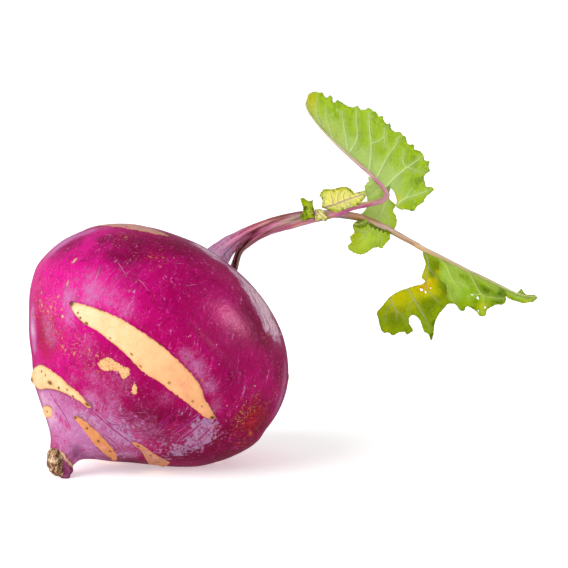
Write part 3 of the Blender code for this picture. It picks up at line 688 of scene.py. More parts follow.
def buildBulb():
    rings, turns = len(profileAxial) - 1, bulbMake["turns"]
    around = np.linspace(0, math.tau, turns, endpoint=False)
    axial, angle = np.meshgrid(profileAxial[:-1], around, indexing="ij")
    skin = skinPoint(axial, angle)
    along = np.gradient(skin, axis=0)
    sideways = np.roll(skin, -1, axis=1) - np.roll(skin, 1, axis=1)
    outward = unit(np.cross(sideways, along))
    skin = np.vstack([skin.reshape(-1, 3), skinPoint(profileAxial[-1:], np.zeros(1))])
    outward = np.vstack([outward.reshape(-1, 3), [(0.0, 0.0, 1.0)]])
    axial = np.r_[axial.ravel(), profileAxial[-1]]
    degrees = np.degrees(np.r_[angle.ravel(), 0.0])

    scars, scarRise = scarFields(skin, axial, degrees)
    scuffEdge, filmEdge = (
        np.max([outlineReach(rim, skin, axial, degrees, 6.0)[0] for rim in rims], axis=0) for rims in (scuffs, filmAndSheenOutlines))
    slant = np.array(bulbMake["slant"])

    waves = bulbMake["waveRise"] * ripples(skin, 0.16, 3)
    waves += bulbMake["ridgeRise"] * ripples(skin * (0.5, 0.5, 1.4), 0.5, 5)
    relief = ease(axial, -50.0, -38.0) * waves + bulbMake["scarRise"] * scarRise
    relief += bulbMake["bumpRise"] * tinted(bulbMake["bumps"], skin)
    relief -= bulbMake["dentDepth"] * tinted(bulbMake["dents"], skin)
    relief -= bulbMake["scuffDepth"] * ease(-np.abs(scuffEdge), -0.6, 0.0)

    last = (rings - 1) * turns
    caps = [(last + k, last + (k + 1) % turns, len(skin) - 1) for k in range(turns)]
    caps.append(tuple(range(turns - 1, -1, -1)))
    bulb = Stock()
    bulb.add(
        (skin + outward * relief[:, None]) @ turned.T, ringFaces(rings, turns) + caps,
        skinPlace=skin, slantPlace=skin - bulbMake["slantStretch"] * (skin @ slant)[:, None] * slant,
        scuffEdge=scuffEdge, filmEdge=filmEdge, neckward=ease(-axial, 36.0, 48.0),
        **scars, **scratchFields(skin, outward), **pitFields(skin),
        **{name: tinted(spots, skin) for name, spots in skinTints.items()},
    )
    return bulb


def findSeat(points):
    # stands the layout so that the fine bulb fills the box of the frame's bulb
    low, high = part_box("bulb")
    place = Vector()
    for k in range(2):
        place[k] = (low[k] + high[k]) / 2 - (points[:, k].min() + points[:, k].max()) / 2 * mm
    place.z = high.z - points[:, 2].max() * mm
    return place


plainAngle, plainAxial = np.meshgrid(np.linspace(0, math.tau, 96), profileAxial)
seat = findSeat(skinPoint(plainAxial.ravel(), plainAngle.ravel()) @ turned.T)
print("bulb's middle stands at", [round(v / mm, 2) for v in seat], "mm")

skinMake = {
    "gloss": 0.11, "glossTint": (1.0, 0.28, 0.5, 1.0), "roughness": 0.33, "bumpDepth": 0.0007,
    "pitSpread": 9000.0,    # how sharply neighbouring pits are kept apart
    "colours": {
        "deep": "98024e", "vivid": "ca0e80", "dark": "640028", "blush": "8e1410", "speck": "e890b4",
        "haze": "b47cac", "hazePale": "ca9ec8", "wax": "a48cb4", "waxPink": "b886a8",
        "film": "b884ac", "filmPale": "e0bccc", "crease": "90085c", "shadow": "300416", "bruise": "64244c",
        "rust": "c88c54", "rustRed": "bc2c14", "scuff": "e2b07c", "scuffDark": "b87c4c",
        "scarGold": "d8a050", "scarPink": "e49a80", "scarEdge": "d8945c", "rim": "7c4020", "pitRing": "a87a3c",
    },
    "scarRamp": {0.0: "e8cca4", 0.2: "e6ba88", 0.42: "e4a474", 0.66: "cc8450", 0.84: "b08074", 1.0: "cc9a9a"},
    "pitRamp": {0.0: "f0d4b0", 0.2: "d8a878", 0.45: "b85a30", 0.7: "74401c", 1.0: "30180c"},
}


def skinFinish():
    constants = {"Specular IOR Level": skinMake["gloss"], "Specular Tint": skinMake["glossTint"]}
    skin = Finish("purpleSkin", skinMake["colours"], constants)
    place = skin.field("skinPlace", "Vector")
    glow, shade, haze, wax, rust, blush, neckward = (
        skin.field(name) for name in ("glow", "shade", "haze", "wax", "rust", "blush", "neckward"))
    broad = skin.noise(place, 0.05, 3.0)
    mottle = skin.noise(place, 0.2, 5.0, 0.62)
    dapple = skin.noise(place, 0.55, 5.0, 0.68)
    fine = skin.noise(place, 1.3, 4.0, 0.65)
    roundStreaks = skin.noise(place * (0.28, 0.28, 1.0), 0.42, 4.0, 0.6)
    roundThreads = skin.noise(place * (0.18, 0.18, 1.0), 1.9, 3.0, 0.6)
    crownStreaks = skin.noise(place * (1.0, 1.0, 0.12), 0.9, 4.0, 0.65)
    grain = skin.noise(place * (1.0, 1.0, 0.22), 2.4, 3.0, 0.7)
    slants = skin.noise(skin.field("slantPlace", "Vector"), 0.75, 5.0, 0.66)
    # lit: where the skin is paler or more vivid, painted light and sheen included
    lit = skin.rise(glow + haze + wax, 0.05, 0.9)

    # ground colours, with painted light on the sunlit side and at the gleam
    skin.colour = skin.mix("deep", "vivid", skin.rise(glow + broad * 0.5 + mottle * 0.9 + crownStreaks * 0.6, 0.7, 2.0))
    # darker patches and painted shade
    skin.paint("dark", skin.rise(shade + mottle * 0.8 + roundStreaks * 0.6, 0.65, 1.65) * 0.85)
    skin.paint("blush", skin.rise(blush + sway(dapple, 0.8), 0.15, 0.95) * 0.6)
    skin.paint("dark", skin.rise(dapple + sway(roundThreads, 0.7), 0.5, 0.72) * 0.5)
    skin.paint("vivid", skin.rise(slants + sway(grain, 0.8) + sway(mottle, 0.8), 0.5, 0.78) * (1.0 - lit) * 0.5)
    skin.paint("speck", skin.rise(grain + sway(crownStreaks, 0.6), 0.58, 0.85) * (0.03 + lit * 0.18))

    # the bloom, and the painted sheen and glare in the same field, is thin and even
    bloomSheenGround = haze * (0.35 + crownStreaks * 1.2) + sway(grain, 0.7) + sway(dapple, 0.5) + sway(mottle, 0.35)
    bloomSheenShare = skin.rise(bloomSheenGround, 0.2, 0.98)
    skin.paint("haze", bloomSheenShare * 0.7)
    # paler still where bloom and painted sheen are thickest, as on the rim
    skin.paint("filmPale", skin.rise(haze + sway(dapple, 1.6) + sway(crownStreaks, 1.2), 1.1, 2.3) * 0.55)
    skin.paint("hazePale", skin.rise(slants + sway(dapple, 0.8), 0.5, 0.72) * bloomSheenShare * neckward * 0.6)
    bare = skin.rise(skin.field("bare") + sway(slants, 2.6) + sway(dapple, 1.2) + sway(fine, 1.2), 0.3, 0.6)
    bareFlecks = skin.rise(slants + sway(fine, 0.7) + sway(mottle, 0.5), 0.62, 0.74) * 0.45
    skin.paint(skin.mix("vivid", "deep", dapple), bare * 0.7 + bareFlecks * (1.0 - bare) * bloomSheenShare)

    # wax lies in rubbed patches that scratches cross
    waxGround = wax + sway(mottle, 1.0) + sway(slants, 2.6) + sway(fine, 0.6) + sway(grain, 0.4)
    waxShare = skin.rise(waxGround, 0.34, 0.56)
    scratch = skin.strokes(skin.noise(place * (0.4, 0.3, 1.0), 0.5, 3.0), 0.5, 0.022)
    waxColour = skin.mix("wax", "waxPink", skin.rise(broad + neckward * 0.5 + sway(dapple, 0.6), 0.3, 0.8))
    skin.paint(waxColour, waxShare * (0.78 - scratch * 0.7) * (0.55 + fine * 0.6))

    # the whitish film, cracked along its edge, with a painted sheen on the rim
    filmEdge = skin.field("filmEdge")
    film = skin.rise(filmEdge + sway(dapple, 5.0) + sway(fine, 3.0) + sway(crownStreaks, 3.0), 0.0, 1.4)
    film = film * skin.rise(skin.field("sheen") + sway(mottle, 2.0) + sway(dapple, 1.0), 0.3, 1.15)
    filmSheenColour = skin.mix("film", "filmPale", skin.rise(filmEdge * 0.05 + mottle + sway(grain, 0.8), 0.45, 0.75))
    skin.paint(filmSheenColour, film * skin.rise(crownStreaks + sway(dapple, 0.8), 0.1, 0.52))
    crack = skin.strokes(skin.noise(place * (0.5, 0.5, 1.0), 0.45, 4.0, 0.65), 0.5, 0.02)
    skin.paint("shadow", crack * film * 0.45)

    # creases and scratches
    slashes = skin.strokes(skin.noise(place * (0.8, 0.8, 0.5), 0.28, 2.0), 0.47, 0.007) * skin.rise(dapple, 0.45, 0.6)
    skin.paint("haze", slashes * 0.4)
    markPale, markNear = skin.field("markPale"), skin.field("markNear")
    markWidth = skin.absolute(skin.field("markAcross") + sway(fine, 2.0))
    mark = skin.fall(markWidth, 0.5, 1.2) * skin.fall(markNear, 0.5, 0.9)
    besideMark = skin.fall(markWidth, 1.0, 3.2) * skin.fall(markNear, 0.7, 1.2) * (1.0 - mark)
    skin.paint("haze", besideMark * skin.rise(wax + haze, 0.2, 0.6) * 0.5)
    skin.paint(skin.mix("crease", "filmPale", skin.rise(markPale, 0.4, 0.6)), mark * (0.75 - markPale * 0.35))
    # painted shade along the neck's underside
    skin.paint("bruise", skin.rise(skin.field("bruised") + sway(mottle, 0.8) + sway(grain, 0.4), 0.2, 0.9) * 0.75)

    # pale corky specks, coarse ones few and far, fine ones all over
    specks = skin.fall(skin.cells(place, 0.42), 0.05, 0.13) * skin.rise(skin.cellNumber(place, 0.42), 0.6, 0.7)
    dust = skin.fall(skin.cells(place * (1.0, 1.0, 0.7), 1.15), 0.12, 0.3) * skin.rise(dapple, 0.45, 0.62)
    skin.paint("speck", specks * 0.6)
    skin.paint("speck", dust * (0.05 + lit * 0.13))
    skin.paint("speck", skin.rise(roundThreads + sway(fine, 0.3), 0.62, 0.75) * (0.02 + lit * 0.12))

    # corky crumbs, thicker where the skin is rusty
    crumbPick = skin.cellNumber(place, 1.8) + rust * 1.25 + sway(mottle, 1.6)
    crumbs = skin.fall(skin.cells(place, 1.8) + sway(fine, 0.5), 0.24, 0.48) * skin.rise(crumbPick, 0.98, 1.08)
    crumbColour = skin.mix("rust", "rustRed", skin.rise(mottle + blush * 0.2, 0.48, 0.6))
    skin.paint(crumbColour, crumbs * 0.85)
    blots = skin.fall(skin.cells(place, 0.62) + sway(fine, 1.3) + sway(grain, 0.8), 0.16, 0.42)
    blots = blots * skin.rise(skin.cellNumber(place, 0.62, 1) + rust * 0.9, 1.02, 1.14)
    skin.paint(crumbColour, blots * 0.85)

    # leaf scars
    scarEdge = skin.field("scarEdge") + sway(skin.noise(place, 0.7, 5.0, 0.68), 1.2)
    scar = skin.rise(scarEdge, -0.08, 0.14)
    warm = skin.field("scarWarm") + sway(broad, 0.3) + sway(mottle, 0.3)
    fibre = skin.noise(place * (0.25, 0.25, 1.2), 1.6, 3.0)
    scarColour = skin.ramp(warm, skinMake["scarRamp"])
    scarColour = skin.mix(scarColour, "scarGold", skin.rise(dapple, 0.5, 0.72) * 0.4)
    scarColour = skin.mix(scarColour, "scarPink", skin.rise(mottle + sway(fibre, 0.4), 0.52, 0.72) * warm * 0.9)
    scarColour = skin.mix(scarColour, "scarEdge", skin.fall(scarEdge, 0.1, 1.1) * 0.45)
    shadow = skin.rise(scarEdge, -1.0, -0.05) * (1.0 - scar)
    skin.paint("shadow", shadow * skin.rise(mottle + sway(fine, 0.4), 0.42, 0.66) * 0.45)
    skin.paint(scarColour, scar)
    rimLine = skin.fall(skin.absolute(scarEdge - 0.08), 0.03, 0.3) * skin.rise(mottle + sway(grain, 0.5), 0.44, 0.62)
    skin.paint("rim", rimLine * 0.75)

    # rubbed patches
    scuff = skin.rise(skin.field("scuffEdge") + sway(fine, 2.4) + sway(dapple, 0.8), -0.1, 0.12)
    skin.paint(skin.mix("scuff", "scuffDark", skin.rise(skin.noise(place, 1.8, 3.0), 0.46, 0.66)), scuff)

    # pits: offsets from two pits mixed across one face are spread apart by how unlike their names are
    name = skin.field("pitName")
    spread = (skin.field("pitNameSquared") - name * name) * skinMake["pitSpread"]
    pitReach = skin.size(skin.field("pitPlace", "Vector")) + spread + sway(fine, 1.8) + sway(grain, 0.8)
    pit = skin.fall(pitReach, 0.5, 1.05)
    skin.paint("pitRing", skin.fall(pitReach, 1.0, 1.9) * scar * 0.5)
    skin.paint(skin.ramp(skin.field("pitTone"), skinMake["pitRamp"]), pit * (0.4 + fine * 0.8))

    roughness = (
        skinMake["roughness"] + waxShare * 0.16 + film * 0.2 + bloomSheenShare * 0.08 + scar * 0.2 + scuff * 0.3
        + crumbs * 0.2 + sway(dapple, 0.15))
    height = (
        fine * 0.07 + crownStreaks * 0.12 + mottle * 0.3 + dapple * 0.12 + specks * 0.12 + fibre * scar * 0.15
        + film * 0.12 - mark * 0.1 - pit * 0.35 - scuff * 0.25 + crumbs * 0.2 - scratch * waxShare * 0.25
        + waxShare * 0.06)
    return skin.finish(roughness, height, skinMake["bumpDepth"])


buildBulb().make("bulbSkin", [skinFinish()], "bulb", "purple_skin")


# Root stub

stubMake = {
    "start": -51.2, "length": 6.75, "radius": 5.0, "rings": 74, "turns": 96,
    "outline": [
        (0.0, 0.97), (0.08, 1.0), (0.2, 1.03), (0.35, 1.05), (0.55, 1.02), (0.75, 1.0), (0.9, 0.92), (0.97, 0.8),
        (1.0, 0.62),
    ],
    "sideShare": 0.72,      # share of the rings that lie along its side; the others close over the torn end
    "dish": 1.1,            # how far the torn end sinks at the pith
    "fibre": 0.45,          # how ragged the wood is
    "skinFacing": 68.0,     # the side that keeps some purple skin, degrees
    "gloss": 0.2, "roughness": 0.75, "bumpDepth": 0.0009,
    "colours": {
        "chip": "4a2a1c", "crumb": "e9ddc0", "hollow": "23150e",
        "skinDark": "741450", "skinPale": "984478", "slit": "e0b88c",
    },
    "woodRamp": {0.36: "1c0e08", 0.45: "6a3e28", 0.53: "a87c58", 0.63: "f4dcb4"},
}


def buildStub():
    rings, turns, sideShare = stubMake["rings"], stubMake["turns"], stubMake["sideShare"]
    around = np.linspace(0, math.tau, turns, endpoint=False)
    share, angle = np.meshgrid(np.linspace(0, 1, rings), around, indexing="ij")
    endward = np.clip((share - sideShare) / (1 - sideShare), 0, 1)
    side = np.clip(share / sideShare, 0, 1)
    width = readOff(stubMake["outline"], side.ravel()).reshape(side.shape) * (1 - endward)
    knob = 1 + 0.06 * np.cos(3 * angle + 4 * side) + 0.03 * np.sin(7 * angle)
    where = np.stack([np.cos(angle) * width, np.sin(angle) * width, side * 2.2], -1).reshape(-1, 3)
    ragged = ripples(where * (3.0, 3.0, 0.8), 1.6, 21) + 0.7 * ripples(where * (3.0, 3.0, 1.5), 4.5, 22)
    ragged = ragged.reshape(side.shape)
    axial = stubMake["start"] - stubMake["length"] * side * (1 + 0.05 * np.sin(2 * angle + 1))
    axial = axial + stubMake["dish"] * ease(endward, 0.1, 0.9) + stubMake["fibre"] * ragged * ease(side, 0.75, 1.0)
    radius = stubMake["radius"] * width * knob * (1 + 0.055 * ragged * ease(side, 0.1, 0.35))
    drift = readOff(bulbMake["axisDrift"], axial)
    local = np.stack([radius * np.cos(angle), radius * np.sin(angle) + drift, axial], -1).reshape(-1, 3)
    quads = [(a, d, c, b) for a, b, c, d in ringFaces(rings, turns)]   # its rings run the other way
    facing = np.cos(angle - math.radians(stubMake["skinFacing"]))
    skinSide = ease(facing - 0.75 * side + 0.25 * ragged, -0.2, 0.3) * (1 - endward)
    stub = Stock()
    stub.add(
        local @ turned.T, quads + [tuple(range(turns))],
        woodPlace=local, skinSide=skinSide.ravel(), ragged=ragged.ravel(), woodShare=side.ravel(),
    )
    return stub


def woodFinish():
    wood = Finish("rootWood", stubMake["colours"], {"Specular IOR Level": stubMake["gloss"]})
    place = wood.field("woodPlace", "Vector")
    skinSide = wood.field("skinSide")
    grain = wood.noise(place * (1.0, 1.0, 0.35), 0.9, 5.0, 0.65)
    chips = wood.noise(place, 0.75, 4.0, 0.6)
    crumbs = wood.cells(place, 1.3)
    wood.colour = wood.ramp(grain, stubMake["woodRamp"])
    wood.paint("chip", wood.rise(chips, 0.5, 0.68) * 0.7)
    wood.paint("crumb", wood.fall(crumbs, 0.12, 0.34) * wood.rise(chips, 0.4, 0.55) * 0.85)
    # painted shade: darker where the ragged wood sinks
    wood.paint("hollow", wood.rise(wood.field("ragged") * -1.0, 0.1, 1.0) * 0.55)
    bark = wood.mix("skinDark", "skinPale", wood.rise(grain, 0.35, 0.7))
    wood.paint(bark, wood.rise(skinSide + sway(chips, 0.7), 0.18, 0.34) * 0.92)
    slit = wood.strokes(wood.field("woodShare") + sway(chips, 0.14) - skinSide * 0.1, 0.12, 0.14)
    wood.paint("slit", slit * wood.rise(skinSide, 0.04, 0.2) * 0.9)
    height = grain * 0.8 + chips * 0.4 - crumbs * 0.3
    return wood.finish(stubMake["roughness"] + grain * 0.2, height, stubMake["bumpDepth"])


buildStub().make("rootStub", [woodFinish()], "root_stub", "root_wood")


# Stalks: (x, y, depth, half width, half thickness), mm

tallStalk = {
    "route": [
        (25.2, 21, 10, 1.7, 1.7), (28, 25.8, 12.6, 1.45, 1.5), (30.3, 32.8, 14, 1.2, 1.35),
        (33.5, 36.2, 14, 1.35, 1.45), (37.4, 39.1, 14, 1.65, 1.5), (42.4, 41.5, 14, 1.85, 1.5),
        (48.1, 43.2, 14, 2.05, 1.5), (53.6, 44.7, 14, 2, 1.5), (58.9, 45.8, 14.3, 1.75, 1.4),
        (65.4, 47, 14.8, 1.3, 1.2), (69.5, 48.8, 15.2, 1.2, 1.1), (73.7, 49.8, 15.7, 1.1, 1), (74.6, 50, 15.9, 1.1, 1),
    ],
    "ribs": 0.04, "flare": 0.12,
    # the groove, by share along the stalk: its depth, its turn from the upper edge in degrees, and its width
    "groove": [(0, 0.72), (0.2, 0.6), (0.4, 0.35), (0.7, 0.2), (1, 0.08)],
    "grooveFacing": [(0, 62), (0.2, 68), (0.4, 84), (0.6, 60), (1, 40)],
    "grooveWidth": [(0, 0.95), (0.15, 0.8), (0.36, 0.22), (0.7, 0.3), (1, 0.3)],
    "stations": {   # share along the stalk: colours from its upper edge to its lower edge, with painted shade in its groove and where it passes the other stalk
        0.13: {0: "4c0a18", 0.3: "300208", 0.65: "380408", 0.85: "602420", 1: "8c6058"},
        0.19: {0: "601320", 0.25: "3c060c", 0.45: "300204", 0.7: "380408", 0.85: "541c20", 1: "805048"},
        0.285: {
            0: "863b4d", 0.1: "51151e", 0.25: "34040c", 0.4: "360410", 0.5: "4e1020", 0.6: "723038", 0.78: "8a5052",
            1: "ac8486",
        },
        0.355: {
            0: "5f0920", 0.14: "6c1132", 0.27: "8a2957", 0.42: "a04672", 0.56: "aa5774", 0.7: "9f5864",
            0.82: "8c4f55", 1: "a87a80",
        },
        0.42: {
            0: "8a444d", 0.14: "a84478", 0.28: "bb4f89", 0.38: "c38a8d", 0.46: "b57f7f", 0.54: "7e4147",
            0.64: "7c3846", 0.78: "9c566a", 1: "b07c84",
        },
        0.48: {
            0: "ad5679", 0.12: "b86488", 0.22: "cb819d", 0.33: "c08a90", 0.44: "906460", 0.54: "845054",
            0.66: "a95f74", 0.82: "a04c6c", 1: "b88c90",
        },
        0.545: {
            0: "c68698", 0.12: "b1887e", 0.25: "ba9988", 0.35: "a8807c", 0.46: "8d5a60", 0.56: "a8687a",
            0.66: "a25165", 0.8: "b45278", 1: "b48088",
        },
        0.61: {
            0: "b7948c", 0.15: "8f7c61", 0.28: "7b675b", 0.38: "8b6e6b", 0.48: "b08583", 0.58: "a76c6b",
            0.72: "c06c7a", 0.86: "c7837e", 1: "bd9a8c",
        },
        0.695: {0: "8c7c54", 0.3: "94706a", 0.55: "b06c74", 0.8: "c27c8e", 1: "c7969a"},
        0.8: {0: "c0a19d", 0.2: "b57d80", 0.45: "cc8a91", 0.65: "c3897d", 0.85: "ad8170", 1: "b3997d"},
        0.88: {0: "cc9a8b", 0.18: "e78cb5", 0.45: "e070b3", 0.7: "c4589c", 1: "ac5080"},
        1: {0: "dcc494", 0.3: "d0a488", 0.55: "cc6898", 1: "a85470"},
    },
}
longStalk = {
    "route": [
        (16.6, 22, 10, 5.2, 2), (20.1, 28, 13.2, 5, 1.9), (22.9, 31.7, 15.4, 4.4, 1.8), (26.5, 35.4, 16.8, 3.3, 1.7),
        (31.2, 38.9, 17.6, 2.3, 1.6), (36.4, 41.8, 18.2, 1.7, 1.5), (41.5, 44, 18.6, 1.4, 1.4),
        (47, 45.6, 18.8, 1.3, 1.3), (52.4, 46.6, 18.9, 1.3, 1.25), (58.9, 47, 18.8, 1.3, 1.2),
        (65.1, 46.9, 18.6, 1.35, 1.2), (69.6, 46.5, 18.5, 1.35, 1.15), (74.5, 45.6, 18.4, 1.35, 1.1),
        (78.3, 44.2, 18.3, 1.25, 1.1), (83.5, 41.9, 18.2, 1.15, 1.05), (90.4, 38.1, 18.1, 1, 1),
        (94.5, 35.9, 18, 0.95, 0.95), (95.3, 35.4, 18, 0.95, 0.95),
    ],
    "ribs": 0.055, "flare": 0.12,
    "groove": [(0, 0.1), (0.16, 0.28), (0.4, 0.22), (0.7, 0.1), (1, 0.05)],
    "grooveFacing": [(0, 120), (0.2, 118), (0.5, 110), (1, 100)],
    "grooveWidth": [(0, 0.35), (0.3, 0.4), (1, 0.35)],
    "fringe": [   # ragged remnant of leaf along its lower edge
        (76.6, 43.9), (77.6, 42.9), (78.4, 41.8), (79, 42.3), (79.7, 41.2), (80.5, 41.8), (81.2, 40.6), (82, 41.1),
        (82.6, 40), (83.4, 40.6), (84.2, 39.5), (85, 40.1), (86, 39.5), (86.4, 40.4), (84, 41.6), (81, 43),
        (78.4, 44.2),
    ],
    "fringeDepth": 17.4,
    "veinTint": "c8a8cc",
    # colours from the upper edge to the lower edge, with a painted highlight along the lit ridge and painted shade
    # darkening the lower edge
    "stations": {
        0.1: {0: "9c7ca0", 0.14: "b088b0", 0.4: "bc90b4", 0.7: "b884a8", 1: "b07ca0"},
        0.17: {
            0: "a26486", 0.12: "ba779e", 0.25: "b8789a", 0.35: "cb86a7", 0.5: "b97ba0", 0.65: "c08fb1", 0.8: "b07ea0",
            1: "b87ea3",
        },
        0.22: {
            0: "a86c88", 0.14: "a85c80", 0.25: "b65c81", 0.33: "e488b0", 0.45: "da80a4", 0.6: "cc749c", 0.8: "c4749c",
            0.94: "a04468", 1: "702038",
        },
        0.27: {
            0: "a86880", 0.12: "a85070", 0.28: "b8557b", 0.38: "ec8cb0", 0.48: "dc7698", 0.58: "c86888",
            0.8: "ba607e", 0.93: "9c4864", 1: "702838",
        },
        0.31: {
            0: "984c60", 0.1: "a0405c", 0.22: "b05270", 0.35: "d88294", 0.45: "e28c9e", 0.55: "ba6475",
            0.65: "882c42", 0.8: "6c1c30", 1: "480818",
        },
        0.355: {
            0: "944148", 0.15: "a04c54", 0.3: "d49095", 0.45: "daa3a7", 0.6: "b87881", 0.75: "9a4d58", 1: "8a444d",
        },
        0.4: {0: "8c4f4c", 0.2: "995756", 0.4: "b98481", 0.6: "a2605c", 0.8: "a25260", 1: "8a4a58"},
        0.44: {0: "783c36", 0.2: "87473d", 0.4: "99665b", 0.6: "ab7779", 0.8: "b8808a", 1: "985c60"},
        0.48: {0: "785048", 0.15: "7c4448", 0.35: "b5828b", 0.55: "bc8f94", 0.8: "b0908a", 1: "94706c"},
        0.66: {
            0: "a06068", 0.2: "ac6f74", 0.4: "bd878c", 0.6: "be9298", 0.76: "9d8283", 0.9: "887872", 1: "807470",
        },
        0.74: {0: "b49484", 0.2: "cda480", 0.45: "c9986e", 0.65: "b28a56", 0.85: "8c6830", 1: "705018"},
        0.79: {0: "98785c", 0.2: "a87c58", 0.4: "bc946c", 0.55: "bc9a7c", 0.75: "a8957c", 1: "8c8464"},
        0.85: {
            0: "a89070", 0.15: "bc9c8c", 0.3: "c4a098", 0.5: "b09686", 0.7: "aa9476", 0.85: "988052", 1: "886c38",
        },
        0.93: {0: "c8ac9c", 0.25: "c4a48c", 0.5: "b49474", 0.75: "a8885c", 1: "94784c"},
    },
}


def sweptTube(spec, sides, steps):
    # tube along a route, wide in the layout plane, ribbed along its length; turn 0 is its upper edge
    path = smoothPath(spec["route"], steps)
    centres = laid(path[:, 0], path[:, 1], path[:, 2])
    along = unit(np.gradient(centres, axis=0))
    across = unit(np.cross(frontWay, along))
    out = np.cross(along, across)
    travelled = lengthAlong(centres)[:, None]
    share = travelled / travelled[-1]
    turn = np.linspace(0, math.tau, sides, endpoint=False)[None, :]

    def read(table):
        return readOff(spec[table], share.ravel())[:, None]

    off = (turn - np.radians(read("grooveFacing")) + math.pi) % math.tau - math.pi
    dent = read("groove") * np.exp(-(off / read("grooveWidth")) ** 2)
    ribs = np.cos(7 * turn + 0.6 * np.sin(6 * share)) + 0.5 * np.cos(13 * turn + 1.0)
    ribs = spec["ribs"] * ribs * (1 - 0.6 * share)
    knots = 0.03 * np.sin(travelled * 0.9 + 2 * np.sin(turn)) * np.sin(travelled * 0.23)
    width = (1 - dent + ribs + knots) * (1 + spec["flare"] * np.exp(-(travelled / 7.0) ** 2))
    wide, thick = path[:, 3:4] * np.cos(turn), path[:, 4:5] * np.sin(turn)
    points = centres[:, None, :] + across[:, None, :] * (wide * width)[..., None]
    points = points + out[:, None, :] * (thick * width)[..., None]
    rings = len(path)
    faces = ringFaces(rings, sides)
    faces += [tuple(range(sides - 1, -1, -1)), tuple((rings - 1) * sides + k for k in range(sides))]
    travelled, share, upper = (np.broadcast_to(values, wide.shape) for values in (travelled, share, np.cos(turn)))
    return points.reshape(-1, 3), faces, {
        "stalkPlace": np.stack([travelled, wide, thick], -1).reshape(-1, 3),
        "stalkShare": share.ravel(),
        "upperSide": upper.ravel(),
    }


stalkMake = {
    "sides": 52, "steps": 22,       # points round a stalk, and rings between two points of its route
    "ribSides": 28, "ribSteps": 18, # the same for the midrib of a leaf
    "veining": 0.55,
    "gloss": 0.16, "glossTint": (1.0, 0.6, 0.7, 1.0), "roughness": 0.4, "bumpDepth": 0.0004,
    "colours": {"fibre": "3c0c14", "thread": "ecd0c8", "between": "8c5484", "speck": "e4ccb0"},
}


def stalkFinish(name, stations, veinTint=None):
    # stations: share along the stalk, then its colours from its upper edge to its lower edge; on the two stalks they
    # hold painted shade, and on the long one a painted highlight
    constants = {"Specular IOR Level": stalkMake["gloss"], "Specular Tint": stalkMake["glossTint"]}
    stalk = Finish(name, stalkMake["colours"], constants)
    place = stalk.field("stalkPlace", "Vector")
    share = stalk.field("stalkShare")
    fibres = stalk.noise(place * (0.14, 2.2, 2.2), 1.0, 4.0, 0.6)
    threads = stalk.noise(place * (0.1, 3.4, 3.4), 1.6, 2.0)
    blotches = stalk.noise(place * (0.5, 1.0, 1.0), 0.45, 4.0, 0.6)
    down = 0.5 - stalk.field("upperSide") * 0.5 + sway(blotches, 0.1) + sway(fibres, 0.08)
    before = None
    for at, colours in stations.items():
        band = stalk.ramp(down, colours)
        if before is None:
            stalk.colour = band
        else:
            stalk.paint(band, stalk.rise(share + sway(blotches, 0.06), before, at))
        before = at
    stalk.tint("fibre", stalk.rise(fibres, 0.5, 0.7) * 0.7)
    stalk.tint("thread", stalk.rise(threads, 0.54, 0.68) * 0.6)
    height = fibres * 0.6 + threads * 0.35
    if veinTint:    # a network of veins over the foot
        veins = stalk.cells(place * (0.4, 1.3, 1.3), 1.0, "DISTANCE_TO_EDGE")
        foot = stalk.fall(share, 0.16, 0.34) * stalkMake["veining"]
        network = stalk.fall(veins, 0.02, 0.12) * foot
        stalk.paint(tone(veinTint), network)
        stalk.paint("between", stalk.rise(veins, 0.15, 0.4) * foot * 0.5)
        height = height + network * 0.3
    specks = stalk.fall(stalk.cells(place * (0.8, 1.0, 1.0), 1.5), 0.08, 0.2) * stalk.rise(blotches, 0.48, 0.62)
    stalk.tint("speck", specks * 0.8)
    return stalk.finish(stalkMake["roughness"] + sway(fibres, 0.2), height + specks * 0.2, stalkMake["bumpDepth"])


# Leaf blades. A blade has a midrib with the form of a stalk's route, and two halves that grow from it past its point
# number first: fold and curl say how their depth changes away from it, underside which face is near, and a vein is its
# width at its foot and then its points, mm. Holes are (x, y, radius), tints (x, y, reach, strength).

